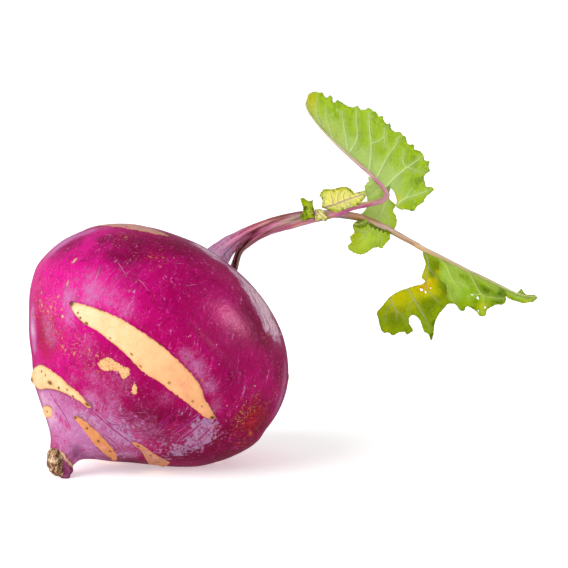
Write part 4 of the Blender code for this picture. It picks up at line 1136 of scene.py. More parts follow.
tallBlade = {
    "rib": [
        (73.6, 49.8, 15.7, 1.1, 1), (78.1, 50.7, 16.4, 1.05, 1), (81.6, 51.4, 17, 1, 1), (83.9, 53.2, 17.5, 0.95, 1),
        (83.4, 55.6, 17.8, 0.85, 0.95), (79.2, 60.3, 18.4, 0.72, 0.85), (73.5, 65.4, 19.2, 0.6, 0.75),
        (67.5, 70.8, 20.2, 0.5, 0.65), (60.7, 77.8, 21.6, 0.4, 0.55), (56, 83.9, 22.8, 0.32, 0.45),
        (54.6, 87.4, 23.4, 0.25, 0.35),
    ],
    "halves": [
        {
            "first": 4, "fold": -0.30, "curl": 0.003, "underside": 1, "serration": 0.25,
            "margin": [
                (53.6, 85.7), (54.4, 87.2), (55, 89), (55.6, 90.7), (56.7, 91.4), (58.2, 91.7), (59.4, 91.3),
                (60.5, 91.4), (61.4, 89.9), (62.3, 89.5), (63.4, 90.2), (64.2, 89.4), (64.3, 87.9), (65.2, 87.6),
                (66, 88.4), (67.6, 87.6), (69.6, 86.3), (71.6, 85.7), (73.3, 86.2), (74.3, 84.9), (75.9, 84.7),
                (77.3, 85.3), (78.8, 84.2), (79.9, 83.6), (81, 82.1), (82.2, 82.3), (82.8, 80.3), (83.9, 79.5),
                (85, 79.5), (85.3, 77.8), (86.8, 76.5), (88.6, 76.5), (89.4, 75.3), (90.6, 74.7), (91.1, 72.5),
                (92.2, 71.9), (93.4, 72), (93.8, 70.1), (95.5, 69.7), (96.8, 68.4), (97.4, 66.3), (99.1, 65.8),
                (98.8, 64), (99.3, 62.4), (97.3, 60.8), (97.5, 58), (98.2, 56.5), (99.4, 56.7), (100.6, 55.5),
                (97.7, 52.9), (97, 51.2), (94.9, 49.8), (93.3, 47.9), (91.1, 48.5), (88.6, 48.6), (87, 49.9),
                (87.5, 51.5), (87.2, 53.2), (86.2, 55.5), (84.7, 57),
            ],
            "veins": [
                [0.75, (69.9, 69.6), (69, 75.5), (68.1, 80.9), (67.8, 83.9)],
                [0.8, (70.2, 69.2), (72.6, 73), (73.4, 76.1), (72.9, 80.9), (73.2, 85.4)],
                [0.9, (77.4, 62.6), (78.1, 68.2), (78.2, 73), (77.6, 78.5), (77.4, 83.3)],
                [0.6, (78.2, 72.7), (80.7, 73.3), (82.8, 75.2), (83.1, 77.9)],
                [0.45, (82.8, 74.8), (83.4, 71.2)],
                [0.9, (80.2, 59.9), (82.5, 64.6), (84.6, 68.5), (86.7, 71.2), (88.3, 74.8)],
                [1, (83.6, 56.9), (87.4, 60.7), (90.7, 63.4), (93.4, 65.2), (96.1, 67.3)],
                [0.6, (90.7, 63.4), (89.5, 66.4), (90.1, 69.4)],
                [0.9, (87.6, 50.4), (90.4, 52.5), (94.6, 53.8), (98.8, 55.3)],
                [0.5, (90.4, 52.5), (92.8, 55.6)],
                [0.45, (91.6, 63.6), (94.2, 62.4), (97, 62.2)],
                [0.55, (64.4, 74.6), (62.6, 80.4), (61.9, 85.5)],
                [0.5, (60.2, 79.2), (58.6, 83.9), (58.4, 87.9)],
            ],
            "holes": [],
        },
        {
            "first": 5, "fold": 0.36, "curl": 0, "underside": 0, "serration": 0.35,
            "margin": [
                (57, 86.5), (62, 87), (65.5, 84.7), (69, 83.5), (72.6, 82.9), (76, 81), (79.4, 79.2), (82, 76),
                (85.2, 74.2), (87, 70.5), (89.8, 68.6), (91, 65), (89.4, 62.6), (90, 60), (87.4, 58.8), (85.6, 57),
                (84.9, 53), (87.2, 50.4), (86.4, 48.4), (87.3, 46.7), (87.9, 44.4), (87.3, 42.2), (85.6, 39.8),
                (85.4, 37.9), (84.2, 36.8), (82.7, 34.7), (81.1, 35.1), (79.1, 34.6), (77, 33.1), (75.2, 32.5),
                (73.4, 32.7), (71.4, 33.6), (70.2, 34.8), (70.3, 35.9), (71.4, 36.9), (70.9, 38.9), (72.4, 40.4),
                (71.9, 42.7), (73.4, 43.8), (73.1, 45.8), (75.4, 47.6), (76.7, 49.4), (77, 52.2), (76, 56.4),
                (76.4, 57.9), (77.4, 58.9), (77.1, 60.6),
            ],
            "veins": [
                [1, (84.2, 55.5), (83.4, 51.5), (82.3, 48), (78.7, 43.2), (75.6, 37.7)],
                [0.7, (82.6, 48.6), (85.4, 43.8), (86, 40.1)],
                [0.6, (78.7, 43.2), (81.7, 39.5), (81.7, 35.8)],
                [0.5, (77.2, 40.6), (74.4, 40.8), (72.6, 41.4)],
                [0.6, (81.1, 57.2), (78.7, 55.3), (77.2, 54.1)],
                [0.8, (76, 64.5), (80.6, 70.4), (82, 74.6)],
                [0.8, (80, 60.8), (86.6, 65), (89.4, 66.6)],
                [0.7, (70.5, 69.4), (73.5, 76), (74.2, 80.8)],
                [0.6, (64.5, 75.2), (66.8, 80.4), (67.3, 83.4)],
            ],
            "holes": [(83.4, 57.9, 0.35)],
        },
    ],
    "tints": {
        "yellowing": [
            (55.6, 89.5, 4, 1), (57.5, 84.5, 3, 0.55), (62, 79, 5, 0.45), (66.5, 74.5, 4, 0.35), (87.6, 52.4, 2.4, 1),
            (72.4, 39.5, 3.2, 0.65), (75, 34, 3.5, 0.45), (87.2, 47, 2.4, 0.3), (98, 66, 4, 0.25), (84, 36, 3, 0.25),
            (68, 88, 3, 0.3), (77, 57, 2, 0.35), (90, 48.6, 1.8, 0.5),
        ],
        "darkening": [
            (94.9, 58.7, 1.6, 0.9), (96.6, 59.6, 1.2, 0.6), (76, 71, 3, 0.3), (71, 77, 3.5, 0.25), (79.6, 80.5, 4, 0.3),
            (87, 65.5, 3, 0.2), (84, 71, 3, 0.2), (54.2, 90, 1, 0.6), (86, 48, 2, 0.4), (98.8, 54.6, 1.6, 0.4),
            (92.4, 48.2, 1.4, 0.35), (72, 33, 2, 0.2), (80, 36, 2.4, 0.2), (77, 46, 1.5, 0.2),
        ],
        "paling": [
            (55.6, 89, 5, -0.8), (80.5, 54.5, 4, 0.8), (78, 46.5, 4, 0.3), (82, 61, 6, 0.55), (76, 67, 5, 0.5),
            (87, 58.5, 5, 0.45), (70, 72.5, 4, 0.35), (80.5, 50, 5, 0.5), (79, 55, 4, 0.5), (82.5, 46, 4, 0.35),
            (88.5, 52.8, 2.4, 0.4), (66, 78.5, 4, 0.3),
        ],
    },
    "ribStations": {    # as for the stalks, on the midrib
        0.05: {0: "dcc494", 0.3: "c8a078", 0.55: "cc6c94", 1: "a85470"},
        0.17: {0: "b06c88", 0.4: "b07484", 0.7: "b88890", 1: "b4a874"},
        0.31: {0: "b06c80", 0.4: "b0748c", 0.7: "bc8894", 1: "bcac88"},
        0.41: {0: "c4949a", 0.4: "c09098", 0.7: "c8a8a0", 1: "bcb890"},
        0.62: {0: "ccb49c", 0.5: "c0b490", 1: "b0b87c"},
        1: {0: "b8bc74", 1: "a0b050"},
    },
}
longBlade = {
    "rib": [
        (94.2, 36, 18, 0.95, 0.95), (97.3, 34.2, 18, 0.9, 0.9), (103.8, 31.1, 17.8, 0.78, 0.85),
        (109.4, 28.3, 17.5, 0.68, 0.8), (114.3, 25.9, 17.2, 0.6, 0.75), (120.4, 23.1, 16.8, 0.52, 0.7),
        (126.4, 20.1, 16.3, 0.42, 0.6), (130.1, 18.4, 16, 0.36, 0.5), (134.5, 17.2, 15.6, 0.3, 0.42),
        (138.4, 16.8, 15.2, 0.24, 0.34),
    ],
    "halves": [
        {
            "first": 1, "fold": -0.35, "curl": 0.004, "underside": 1, "serration": 0.2,
            "margin": [
                (138.3, 16.6), (136.8, 15.2), (134.9, 14.9), (132.9, 14.6), (131.4, 15.2), (129.9, 15.5), (128.7, 16),
                (127.5, 16.6), (126.8, 17.3), (126.9, 16), (126.4, 14.7), (125.2, 14.1), (123.3, 14.1), (121.2, 13.1),
                (119.8, 12.1), (119.3, 10.2), (117.3, 10), (116.4, 11.3), (114.9, 12.5), (113.2, 13.4), (112.2, 13.2),
                (111.7, 12.1), (110.4, 11.9), (109.5, 12.8), (108.9, 13.8), (107.1, 15), (106.2, 15.4), (105.3, 17.6),
                (105.5, 20), (104.7, 21.9), (103.2, 23), (102.5, 25.4), (102.9, 28), (102.6, 30.1), (101.5, 31.4),
            ],
            "veins": [
                [0.8, (103, 31.1), (105.5, 28.2), (107.9, 22.7), (110.2, 20.4)],
                [0.85, (113.8, 25.7), (115.9, 21.5), (118.2, 17.8), (122.6, 16.6), (126.2, 16.3)],
                [0.6, (118.2, 17.8), (114.6, 17.6), (113.5, 16.3)],
                [0.5, (105.6, 20.8), (106.4, 18.6), (107.6, 15.8)],
                [0.5, (107.9, 22.7), (111.2, 22), (113.3, 20.4)],
                [0.5, (119.5, 23), (121, 20.9), (123.6, 19.4)],
                [0.5, (127.7, 18.9), (131.4, 17.2), (135.2, 16)],
                [0.4, (118.4, 17.6), (119, 14.6), (118.4, 11.4)],
            ],
            "holes": [
                (114.7, 17.7, 0.34), (116.7, 16.5, 0.52), (119.5, 15.1, 0.26), (119.2, 13.1, 0.34), (116.8, 11.9, 0.3),
            ],
        },
        {
            "first": 1, "fold": 0.35, "curl": 0, "underside": 0, "serration": 0.25,
            "margin": [
                (137.2, 17.7), (135.3, 17.7), (133.8, 18.2), (132.6, 19.9), (131.5, 18.8), (129.4, 17.6), (126, 17.2),
                (121, 15), (116, 14.6), (112, 14.6), (109.5, 14.3), (106.4, 14.3), (105.2, 12.8), (103.9, 11.4),
                (102.8, 9.6), (101.8, 6.9), (101.5, 3.6), (100.7, 0.8), (99.6, 3.2), (98.1, 4), (97.1, 6.5),
                (96.2, 8.6), (94.2, 10.2), (92.7, 9.5), (92.5, 7.3), (94, 4.6), (92.9, 3.6), (91.9, 2.9), (91, 3.9),
                (88.8, 3.7), (86.7, 2.6), (85.2, 3.7), (83.2, 3.7), (81.9, 6), (81.2, 9.1), (80.8, 11.1), (83.1, 13.9),
                (85.5, 16.9), (88.2, 18.7), (91.3, 19.9), (94.9, 21), (97.2, 21.6), (98.1, 22.7), (96.8, 23.9),
                (97.6, 26.7), (98.1, 29.1), (97.3, 31.5), (97, 33.4),
            ],
            "veins": [
                [0.8, (91.7, 19.9), (94, 16.3), (96.6, 12.1), (98.7, 8.5), (100.3, 4.3)],
                [0.6, (85.4, 16.6), (87.3, 12.6), (88.1, 8.5)],
                [0.6, (99.2, 28), (98.2, 21.5), (100.3, 17.8), (103.4, 14.7)],
                [0.4, (88.1, 11.6), (90.4, 9.5), (91.4, 6.9)],
                [0.6, (97.6, 33.6), (98.9, 30.3), (99.4, 27.4), (100.3, 26.1), (102.4, 23.8)],
                [0.4, (94, 16.3), (92.5, 13.1), (92.2, 11.6)],
                [0.4, (86.4, 15), (84.2, 11), (83.4, 7.6)],
                [0.6, (110, 27.8), (113, 22.4), (118, 18)],
                [0.5, (121, 22.6), (124.2, 19.4)],
            ],
            "holes": [
                (96.8, 19.5, 0.52), (98.3, 18.6, 0.36), (100.1, 20.1, 0.24), (114.7, 17.6, 0.6), (116.8, 16.3, 0.85),
            ],
        },
    ],
    "tints": {
        "yellowing": [
            (98.5, 20.5, 3.4, 1), (93, 19, 5, 0.8), (86, 16.5, 4, 0.65), (97.5, 26, 3, 0.7), (97.4, 30.5, 2.6, 0.3),
            (82, 11, 2.6, 0.35), (84, 5, 3, 0.4), (101.5, 23, 2, 0.6), (103, 18, 3, 0.5), (134.5, 15, 2.4, 0.7),
            (127, 17.5, 2, 0.6), (118.5, 13.5, 3, 0.7), (102.6, 26, 1.4, 0.6), (88, 12, 5, 0.35), (95, 12, 4, 0.35),
            (120, 10.6, 1.5, 0.6), (109, 13, 2, 0.3),
        ],
        "darkening": [
            (113.5, 24, 2.6, 0.5), (119, 18.6, 2.6, 0.45), (125, 18.6, 3, 0.45), (107.5, 21, 1.4, 0.35),
            (110.5, 24.5, 1.3, 0.4), (100.5, 25, 2.4, 0.65), (99.8, 29.5, 2.2, 0.5), (101.5, 7, 2, 0.7),
            (100.8, 2.6, 1.6, 0.7), (124.5, 15.6, 2.6, 0.6), (120, 20, 3, 0.35), (116, 22, 2.4, 0.25),
            (84.5, 12.6, 2, 0.5), (93.5, 11.4, 1.8, 0.5), (104, 13.2, 1.6, 0.5), (91.5, 4.6, 1.6, 0.4),
            (126.2, 18.4, 1.2, 0.6), (111, 12.6, 1.4, 0.5), (86, 3.6, 1.6, 0.35), (137, 16, 1.4, 0.4),
        ],
        "paling": [
            (118, 19.5, 4, -0.4), (127, 17, 4, -0.5), (106, 25, 4, 0.8), (110.5, 20.5, 4, 0.5), (108.5, 17, 3, 0.4),
            (117, 23, 4, 0.3), (122, 21, 4, 0.25), (130, 16.8, 3, 0.4), (94.5, 12, 1.6, 0.2),
        ],
    },
    "ribStations": {
        0.02: {0: "dcc4b3", 0.5: "c8a56f", 1: "ba995f"},
        0.25: {0: "c8b49c", 0.5: "b39974", 1: "aaa658"},
        0.5: {0: "bcb490", 0.6: "a5a261", 1: "a5b060"},
        1: {0: "b8bc80", 1: "a0b050"},
    },
}

# Small lobes on the stalks
stalkLobes = {
    "lobeLower": {
        "node": "stalk_lobe_lower", "slot": "leaf_green",
        "depth": 11.7, "slope": -0.10, "frill": 0.5, "finish": "leafDark",
        "margin": [
            (52.6, 52.5), (53.8, 52.4), (54.8, 51.8), (56, 51.4), (56.9, 51.7), (57, 50), (57.5, 48.4), (56.8, 47.4),
            (57.5, 45.4), (55.6, 45.3), (54, 44.3), (52.9, 44.7), (52.4, 46.1), (53.4, 47.5), (53.3, 49.7),
            (52.7, 51.4),
        ],
        "veins": [[0.2, (56.2, 46.6), (55.6, 48.4), (55.8, 50.9)]],
        "tints": {
            "yellowing": [(54.2, 50.6, 1.3, 0.6), (56.8, 47, 1, 0.7), (56.6, 45.6, 0.8, 0.5)],
            "darkening": [
                (54.5, 48.8, 0.75, 2), (53.4, 45.8, 1.3, 0.5), (56.6, 50.8, 0.9, 0.5), (52.9, 52.2, 0.8, 0.4),
                (54.8, 46.6, 0.5, 0.6),
            ],
            "paling": [(54.6, 50.2, 1, 0.3)],
        },
    },
    "lobeMiddle": {
        "node": "stalk_lobe_middle", "slot": "leaf_yellow",
        "depth": 11.5, "slope": 0, "frill": 0.4, "finish": "leafYellow",
        "margin": [
            (57.8, 48.3), (58.9, 48.6), (60.3, 48.5), (61, 47.6), (61.8, 46.5), (62.3, 45.4), (61.9, 44.3), (61, 44.2),
            (60, 44.8), (58.9, 44.4), (58, 44.5), (57.7, 46.1), (58.1, 47.2),
        ],
        "veins": [[0.35, (58.6, 48.2), (59.2, 46.8), (60.6, 45.8), (61.6, 44.8)], [0.3, (58.4, 47.6), (58.4, 45)]],
        "tints": {
            "yellowing": [(60, 46, 2, 0.2)],
            "darkening": [(62, 44.8, 0.7, 0.8), (58.2, 48.2, 0.5, 0.4)],
            "paling": [(60, 46.8, 2, 0.8)],
        },
    },
    "lobeUpper": {
        "node": "stalk_lobe_upper", "slot": "leaf_yellow",
        "depth": 11.2, "slope": -0.15, "frill": 0.8, "finish": "leafYellow",
        "margin": [
            (59.4, 53.8), (60.1, 54.7), (60.6, 55.4), (62.4, 55.8), (64.2, 55.7), (65.8, 56.1), (67.5, 56.5),
            (69.3, 56.4), (70.7, 55.6), (72.1, 54.4), (73.9, 54.8), (75.7, 55.1), (76.1, 53.3), (75.2, 51.7),
            (74.2, 50.8), (73, 49.8), (71.4, 49.2), (69.3, 48.6), (67.5, 47.9), (65.8, 47.3), (64.2, 47.7),
            (62.4, 48.2), (60.6, 48.8), (60.1, 49.4), (60.4, 51.4), (59.9, 52.5),
        ],
        "veins": [
            [0.62, (60.6, 48.9), (62.4, 49.5), (64.9, 50.2), (67.8, 51.4), (70.7, 52.4), (73.6, 53.4), (75.4, 54.1)],
            [0.3, (64.4, 50.1), (63.8, 52.4), (63.2, 54.4)], [0.3, (66.2, 50.6), (65.8, 52.6), (66.2, 54.4)],
            [0.28, (68.3, 51.6), (67.8, 53.2), (68.6, 54.8)], [0.25, (70.4, 52.3), (70.2, 53.8)],
            [0.22, (68, 51.2), (69.4, 49.8)], [0.22, (65, 50.1), (66, 48.8)],
        ],
        "tints": {
            "yellowing": [(65, 53, 5, 0.8), (72.5, 52.6, 3, 0.5)],
            "darkening": [(70.6, 55.4, 0.7, 0.5), (63, 55.4, 0.5, 0.4), (67.4, 48.8, 0.7, 0.4), (64.4, 48.2, 0.7, 0.4)],
            "paling": [(61, 52, 2.4, 0.7), (69, 50, 3.5, 0.6), (74, 53.6, 2.4, 0.6)],
        },
    },
    "lobeOuter": {
        "node": "stalk_lobe_outer", "slot": "leaf_green",
        "depth": 16.1, "slope": 0.05, "frill": 0.6, "finish": "leafDark",
        "margin": [
            (71.4, 42.2), (72, 43.7), (73.4, 44.5), (74.5, 44.3), (75.9, 45.3), (77.1, 44), (76.8, 42.8), (75.2, 41.8),
            (73.8, 41.6), (72.7, 42.3),
        ],
        "veins": [[0.5, (76.4, 44.2), (74, 43.4), (72, 42.8)]],
        "tints": {
            "yellowing": [(72.6, 42.4, 0.8, 0.4)],
            "darkening": [(74, 43.4, 2, 0.9), (76.5, 43.4, 1, 0.5)],
            "paling": [(75.6, 42.8, 0.6, 0.5)],
        },
    },
}

leafMake = {
    "thickness": 0.34,
    "pitch": 0.52,      # spacing of the points that fill a blade, mm
    "smallPitch": 0.24, # the same for the small lobes and the fringe
    "veinPitch": 0.45,
    "veinRise": 0.24,
    "ripple": 0.7,      # the same slow wave of the margin as the frame's blades have
    "pucker": 0.28,
    "pillow": 0.3,      # how far the leaf swells between its veins
    "midrib": {         # the shape of a blade's midrib, as for the stalks
        "ribs": 0.03, "flare": 0.0,
        "groove": [(0.0, 0.06), (1.0, 0.0)], "grooveFacing": [(0.0, 40.0), (1.0, 40.0)],
        "grooveWidth": [(0.0, 0.3), (1.0, 0.3)],
    },
    "gloss": 0.03, "glossTint": (0.9, 1.0, 0.3, 1.0), "roughness": 0.55, "bumpDepth": 0.0004,
}
# the fringe is painted darker all over: a dark leaf remnant, with painted shade under the stalk
fringeSheet = {
    "veins": [], "frill": 0.3, "pitch": leafMake["smallPitch"], "tints": {"darkening": [(81.0, 41.0, 6.0, 0.8)]},
}


def serrated(margin, amount, seed):
    # fine teeth between the broad ones
    path = smoothPath(margin, 5)
    run = np.gradient(path, axis=0)
    out = np.c_[-run[:, 1], run[:, 0]] / np.maximum(np.linalg.norm(run, axis=1, keepdims=True), 1e-9)
    reach = lengthAlong(path)
    slow = np.abs(np.sin(reach * 2.1 + 0.8 * np.sin(reach * 0.7 + seed)))
    bite = slow * 0.6 + 0.4 * np.abs(np.sin(reach * 4.7 + seed))
    hold = ease(reach, 0.0, 1.5) * ease(reach[-1] - reach, 0.0, 1.5)
    return path + out * (amount * hold * (bite - 0.5))[:, None]


def thinned(path, least):
    # drops points that lie closer than least to the one before
    kept = [path[0]]
    for point in path[1:]:
        if np.linalg.norm(point - kept[-1]) >= least:
            kept.append(point)
    return np.array(kept)


def holeRim(x, y, radius):
    turn = np.linspace(0, math.tau, 11, endpoint=False)
    wobble = radius * (1 + 0.22 * np.sin(2 * turn + x) + 0.12 * np.sin(3 * turn + y))
    return np.c_[x + wobble * np.cos(turn), y + wobble * np.sin(turn)]


def sheetMesh(outline, veins, holes, pitch):
    # triangles that fill an outline, with edges along every vein and round every hole
    low, high = outline.min(0), outline.max(0)
    columns, rows = int((high[0] - low[0]) / pitch) + 2, int((high[1] - low[1]) / (0.866 * pitch)) + 2
    column, row = np.meshgrid(np.arange(columns), np.arange(rows))
    grid = np.c_[(low[0] + (column + 0.5 * (row % 2)) * pitch).ravel(), (low[1] + row * 0.866 * pitch).ravel()]
    grid = grid[insideOf(outline, grid)]
    rims = [holeRim(*hole) for hole in holes]
    lines = [(outline, True)]   # and whether each is closed
    for vein in veins:
        line = thinned(smoothPath(vein, 8), leafMake["veinPitch"])
        line = line[insideOf(outline, line) & (nearestOn(closedUp(outline), line)[0] > 0.2)]
        if len(line) > 1:
            lines.append((line, False))
    lines += [(rim, True) for rim in rims]
    for line, loop in lines:
        grid = grid[nearestOn(closedUp(line) if loop else line, grid)[0] > 0.42 * pitch]
    points, edges, count = [grid], [], len(grid)
    for line, loop in lines:
        points.append(line)
        edges += [(count + k, count + (k + 1) % len(line)) for k in range(len(line) if loop else len(line) - 1)]
        count += len(line)
    made, _, faces, *_ = geometry.delaunay_2d_cdt([Vector(p) for p in np.vstack(points)], edges, [], 1, 1e-4)
    made, faces = np.array([tuple(p) for p in made]), np.array([f for f in faces if len(f) == 3])
    middles = made[faces].mean(1)
    keep = insideOf(outline, middles)
    for rim in rims:
        keep &= ~insideOf(rim, middles)
    return made, faces[keep]


def addSheet(stock, outline, spec, depthAt, ribs=None, finish=0):
    # a thin closed leaf surface with raised veins, painted fields and a rim
    pitch = spec.get("pitch", leafMake["pitch"])
    points, faces = sheetMesh(outline, [vein[1:] for vein in spec["veins"]], spec.get("holes", []), pitch)
    count = len(points)
    veinEdge = np.full(count, -4.0)
    for width, *line in spec["veins"]:
        line = smoothPath(line, 6)
        gap, at = nearestOn(line, points)
        veinEdge = np.maximum(veinEdge, 0.5 * width * (1 - 0.62 * at / (len(line) - 1)) - gap)
    ribGap = np.full(count, 20.0) if ribs is None else nearestOn(ribs, points)[0]
    rimGap, _ = nearestOn(closedUp(outline), points)
    underside = spec.get("underside", 1.0)
    facing = 1.0 if underside > 0.5 else -1.0
    pucker = leafMake["pucker"] * ripples(points, 1.25, 31) * ease(-veinEdge, 0.1, 1.6) * ease(ribGap, 0.4, 3.0)
    pucker += leafMake["pillow"] * ease(-veinEdge, 0.2, 2.2) * ease(ribGap, 0.6, 3.0)
    frill = spec.get("frill", 0.25) * np.sin(points @ (2.3, 2.9)) * np.exp(-(rimGap / 1.1) ** 2)
    middle = depthAt(points) + facing * pucker + frill
    half = 0.5 * leafMake["thickness"] * (0.35 + 0.65 * ease(rimGap, 0.0, 0.6))
    ridge = leafMake["veinRise"] * ease(veinEdge, -0.35, 0.15)
    near = middle - half - (ridge if facing > 0 else -0.4 * ridge)
    far = middle + half + (ridge if facing < 0 else -0.4 * ridge)

    a, b, c = points[faces[0]]
    turnedOver = np.cross(b - a, c - a) < 0
    nearFaces = faces[:, ::-1] if turnedOver else faces
    shell = nearFaces.tolist() + (nearFaces[:, ::-1] + count).tolist()
    used = dict.fromkeys(edge for a, b, c in faces.tolist() for edge in ((a, b), (b, c), (c, a)))
    for a, b in used:
        if (b, a) not in used:
            shell.append((a, b, b + count, a + count) if turnedOver else (b, a, a + count, b + count))
    stock.add(
        np.vstack([laid(points[:, 0], points[:, 1], near), laid(points[:, 0], points[:, 1], far)]), shell, finish,
        leafPlace=np.vstack([np.c_[points, np.full(count, height)] for height in (0.0, 4.0)]),
        veinEdge=np.tile(veinEdge, 2), rimGap=np.tile(np.minimum(rimGap, 9.0), 2),
        ribGap=np.tile(np.minimum(ribGap, 9.0), 2), underside=np.repeat((underside, 1.0 - underside), count),
        **{name: np.tile(tinted(spots, points), 2) for name, spots in spec["tints"].items()},
    )


def bladeDepth(rib, fold, curl):
    # depth of a blade half: that of the rib it grows from, plus fold, curl and wave by distance from it
    def depthAt(points):
        gap, at = nearestOn(rib[:, :2], points)
        found = np.interp(at, np.arange(len(rib)), rib[:, 2])
        wave = leafMake["ripple"] * np.sin(0.42 * (points[:, 0] + 0.6 * points[:, 1])) * np.minimum(1.0, gap / 14) ** 2
        return found + fold * gap + curl * gap * gap + wave
    return depthAt


def buildBlade(name, node, blade, finishes):
    stock = Stock()
    for half in blade["halves"]:
        rib = smoothPath(blade["rib"][half["first"]:], 7)
        margin = serrated(half["margin"], half["serration"], 2.0 + half["first"])
        outline = thinned(np.vstack([rib[:, :2], margin]), 0.12)
        depthAt = bladeDepth(rib, half["fold"], half["curl"])
        addSheet(stock, outline, {**half, "tints": blade["tints"]}, depthAt, rib[:, :2])
    midrib = {**leafMake["midrib"], "route": blade["rib"]}
    points, faces, fields = sweptTube(midrib, stalkMake["ribSides"], stalkMake["ribSteps"])
    stock.add(points, faces, 1, **fields)
    stock.make(name, finishes, node, "leaf_green")


leafColours = {
    "under": "90b01c", "upper": "bada3c", "pale": "a4bf6c", "edge": "98b604", "yellow": "b0b604", "orange": "b89408",
    "dark": "608208", "brown": "5c4414", "vein": "c0d488", "veinBack": "c0d488", "net": "c0d488", "ribBlush": "a09c78",
}
leafKinds = {   # what differs from the tall leaf: its patterns and its colours
    "leafGreen": ({}, {}),
    "longLeafGreen": (
        {"ribPale": 0.5, "ribReach": 2.6, "upperPale": 0.3, "netting": 0.5, "rimSpecks": 0.3},
        {
            "under": "84a808", "upper": "6c8000", "pale": "a0be50", "edge": "8ca404", "yellow": "b8b800",
            "orange": "cc9400", "dark": "385800", "brown": "4c3008", "vein": "b4c45c", "veinBack": "a8ac7c",
            "net": "b4c45c", "ribBlush": "88a050",
        },
    ),
    "leafYellow": (
        {"ribPale": 0.2, "rimSpecks": 0.85},
        {
            "under": "dcdc4c", "upper": "d8d84c", "pale": "f0e8a4", "edge": "bcc828", "yellow": "e4de50",
            "orange": "e4d04c", "dark": "587008", "brown": "4c6008", "vein": "b48098", "veinBack": "b48098",
            "net": "d4cc88", "ribBlush": "b88c98",
        },
    ),
    "leafDark": (
        {"ribPale": 0.0, "netting": 0.5, "rimSpecks": 0.4},
        {"under": "9cb404", "upper": "98b404", "pale": "b0c440", "edge": "98b008", "dark": "2c4404"},
    ),
}


def leafFinish(name, colours, ribPale=0.7, ribReach=8.0, upperPale=1.0, netting=1.0, rimSpecks=0.15):
    # ribPale and ribReach: the paler zone beside the midrib; upperPale: how much of all pale zones the upper side shows
    constants = {"Specular IOR Level": leafMake["gloss"], "Specular Tint": leafMake["glossTint"]}
    leaf = Finish(name, {**leafColours, **colours}, constants)
    place = leaf.field("leafPlace", "Vector")
    underside, rimGap, ribGap, yellowing = (leaf.field(key) for key in ("underside", "rimGap", "ribGap", "yellowing"))
    cloud = leaf.noise(place, 0.22, 4.0, 0.6)
    mottle = leaf.noise(place, 0.9, 4.0, 0.62)
    fine = leaf.noise(place, 3.2, 3.0, 0.6)
    bend = leaf.noise(place, 0.8, 2.0, output="Color") * 0.8
    netLine = leaf.fall(leaf.cells(place + bend, 0.62, "DISTANCE_TO_EDGE"), 0.0, 0.09)
    smallLine = leaf.fall(leaf.cells(place, 1.9, "DISTANCE_TO_EDGE"), 0.0, 0.1)

    leaf.colour = leaf.mix("upper", "under", underside)
    leaf.paint("edge", leaf.fall(rimGap + sway(mottle, 2.0), 0.2, 4.5) * 0.6)
    ribPaling = leaf.fall(ribGap + sway(mottle, ribReach) * 0.5, 0.0, ribReach) * ribPale
    paling = leaf.rise(leaf.field("paling") + ribPaling + sway(cloud, 0.6), 0.05, 0.85)
    paling = paling * (upperPale + underside * (1.0 - upperPale))
    patches = cloud + sway(mottle, 0.45) - paling * 0.1 - leaf.rise(rimGap, 5.0, 9.0) * 0.05
    leaf.paint("dark", leaf.rise(patches, 0.46, 0.68) * (0.22 + underside * 0.3))
    leaf.paint("pale", paling * 0.75)
    leaf.paint("yellow", leaf.rise(yellowing + sway(mottle, 0.7) + sway(cloud, 0.3), 0.2, 0.95) * 0.9)
    leaf.paint("orange", leaf.rise(yellowing + sway(fine, 0.6) + sway(mottle, 0.5), 0.8, 1.25) * 0.6)
    leaf.paint("dark", leaf.rise(leaf.field("darkening") + sway(mottle, 0.6), 0.25, 0.8) * 0.8)
    leaf.paint("net", smallLine * 0.1 * netting)
    leaf.paint("net", netLine * (0.2 + underside * 0.1) * netting)

    veinEdge = leaf.field("veinEdge") + sway(fine, 0.1)
    vein = leaf.rise(veinEdge, -0.1, 0.12)
    leaf.paint("pale", leaf.rise(veinEdge, -1.4, -0.1) * (1.0 - vein) * (0.1 + underside * 0.3))
    leaf.paint(leaf.mix("veinBack", "vein", underside), vein * (0.55 + underside * 0.2))
    leaf.paint("ribBlush", leaf.fall(ribGap + sway(mottle, 1.2), 0.4, 2.4) * 0.32)

    leaf.paint("brown", leaf.fall(rimGap, 0.06, 0.42) * leaf.rise(mottle, 0.5, 0.64) * 0.8)
    frillSpecks = leaf.rise(leaf.noise(place, 1.5, 3.0, 0.6) + sway(fine, 0.5), 0.5, 0.6)
    leaf.paint("dark", leaf.fall(rimGap, 0.3, 1.2) * frillSpecks * rimSpecks)
    leaf.paint("brown", leaf.fall(leaf.cells(place, 0.8), 0.05, 0.13) * leaf.rise(cloud, 0.48, 0.6) * 0.45)
    relief = underside - 0.4
    height = vein * 0.5 + netLine * relief * 0.5 + smallLine * relief * 0.25 + fine * 0.25 + mottle * 0.3
    return leaf.finish(leafMake["roughness"] + sway(mottle, 0.2) - vein * 0.08, height, leafMake["bumpDepth"])


leafFinishes = {name: leafFinish(name, colours, **patterns) for name, (patterns, colours) in leafKinds.items()}

for name, node, stalk in (("tallStalk", "tall_leaf_stalk", tallStalk), ("longStalk", "long_leaf_stalk", longStalk)):
    tube = Stock()
    points, faces, fields = sweptTube(stalk, stalkMake["sides"], stalkMake["steps"])
    tube.add(points, faces, **fields)
    if "fringe" in stalk:
        fringe, depth = smoothPath(stalk["fringe"], 4, closed=True), stalk["fringeDepth"]
        addSheet(tube, fringe, fringeSheet, lambda places: np.full(len(places), depth), finish=1)
    bark = stalkFinish(name + "Skin", stalk["stations"], stalk.get("veinTint"))
    tube.make(name, [bark, leafFinishes["leafDark"]], node, "leaf_stalk")

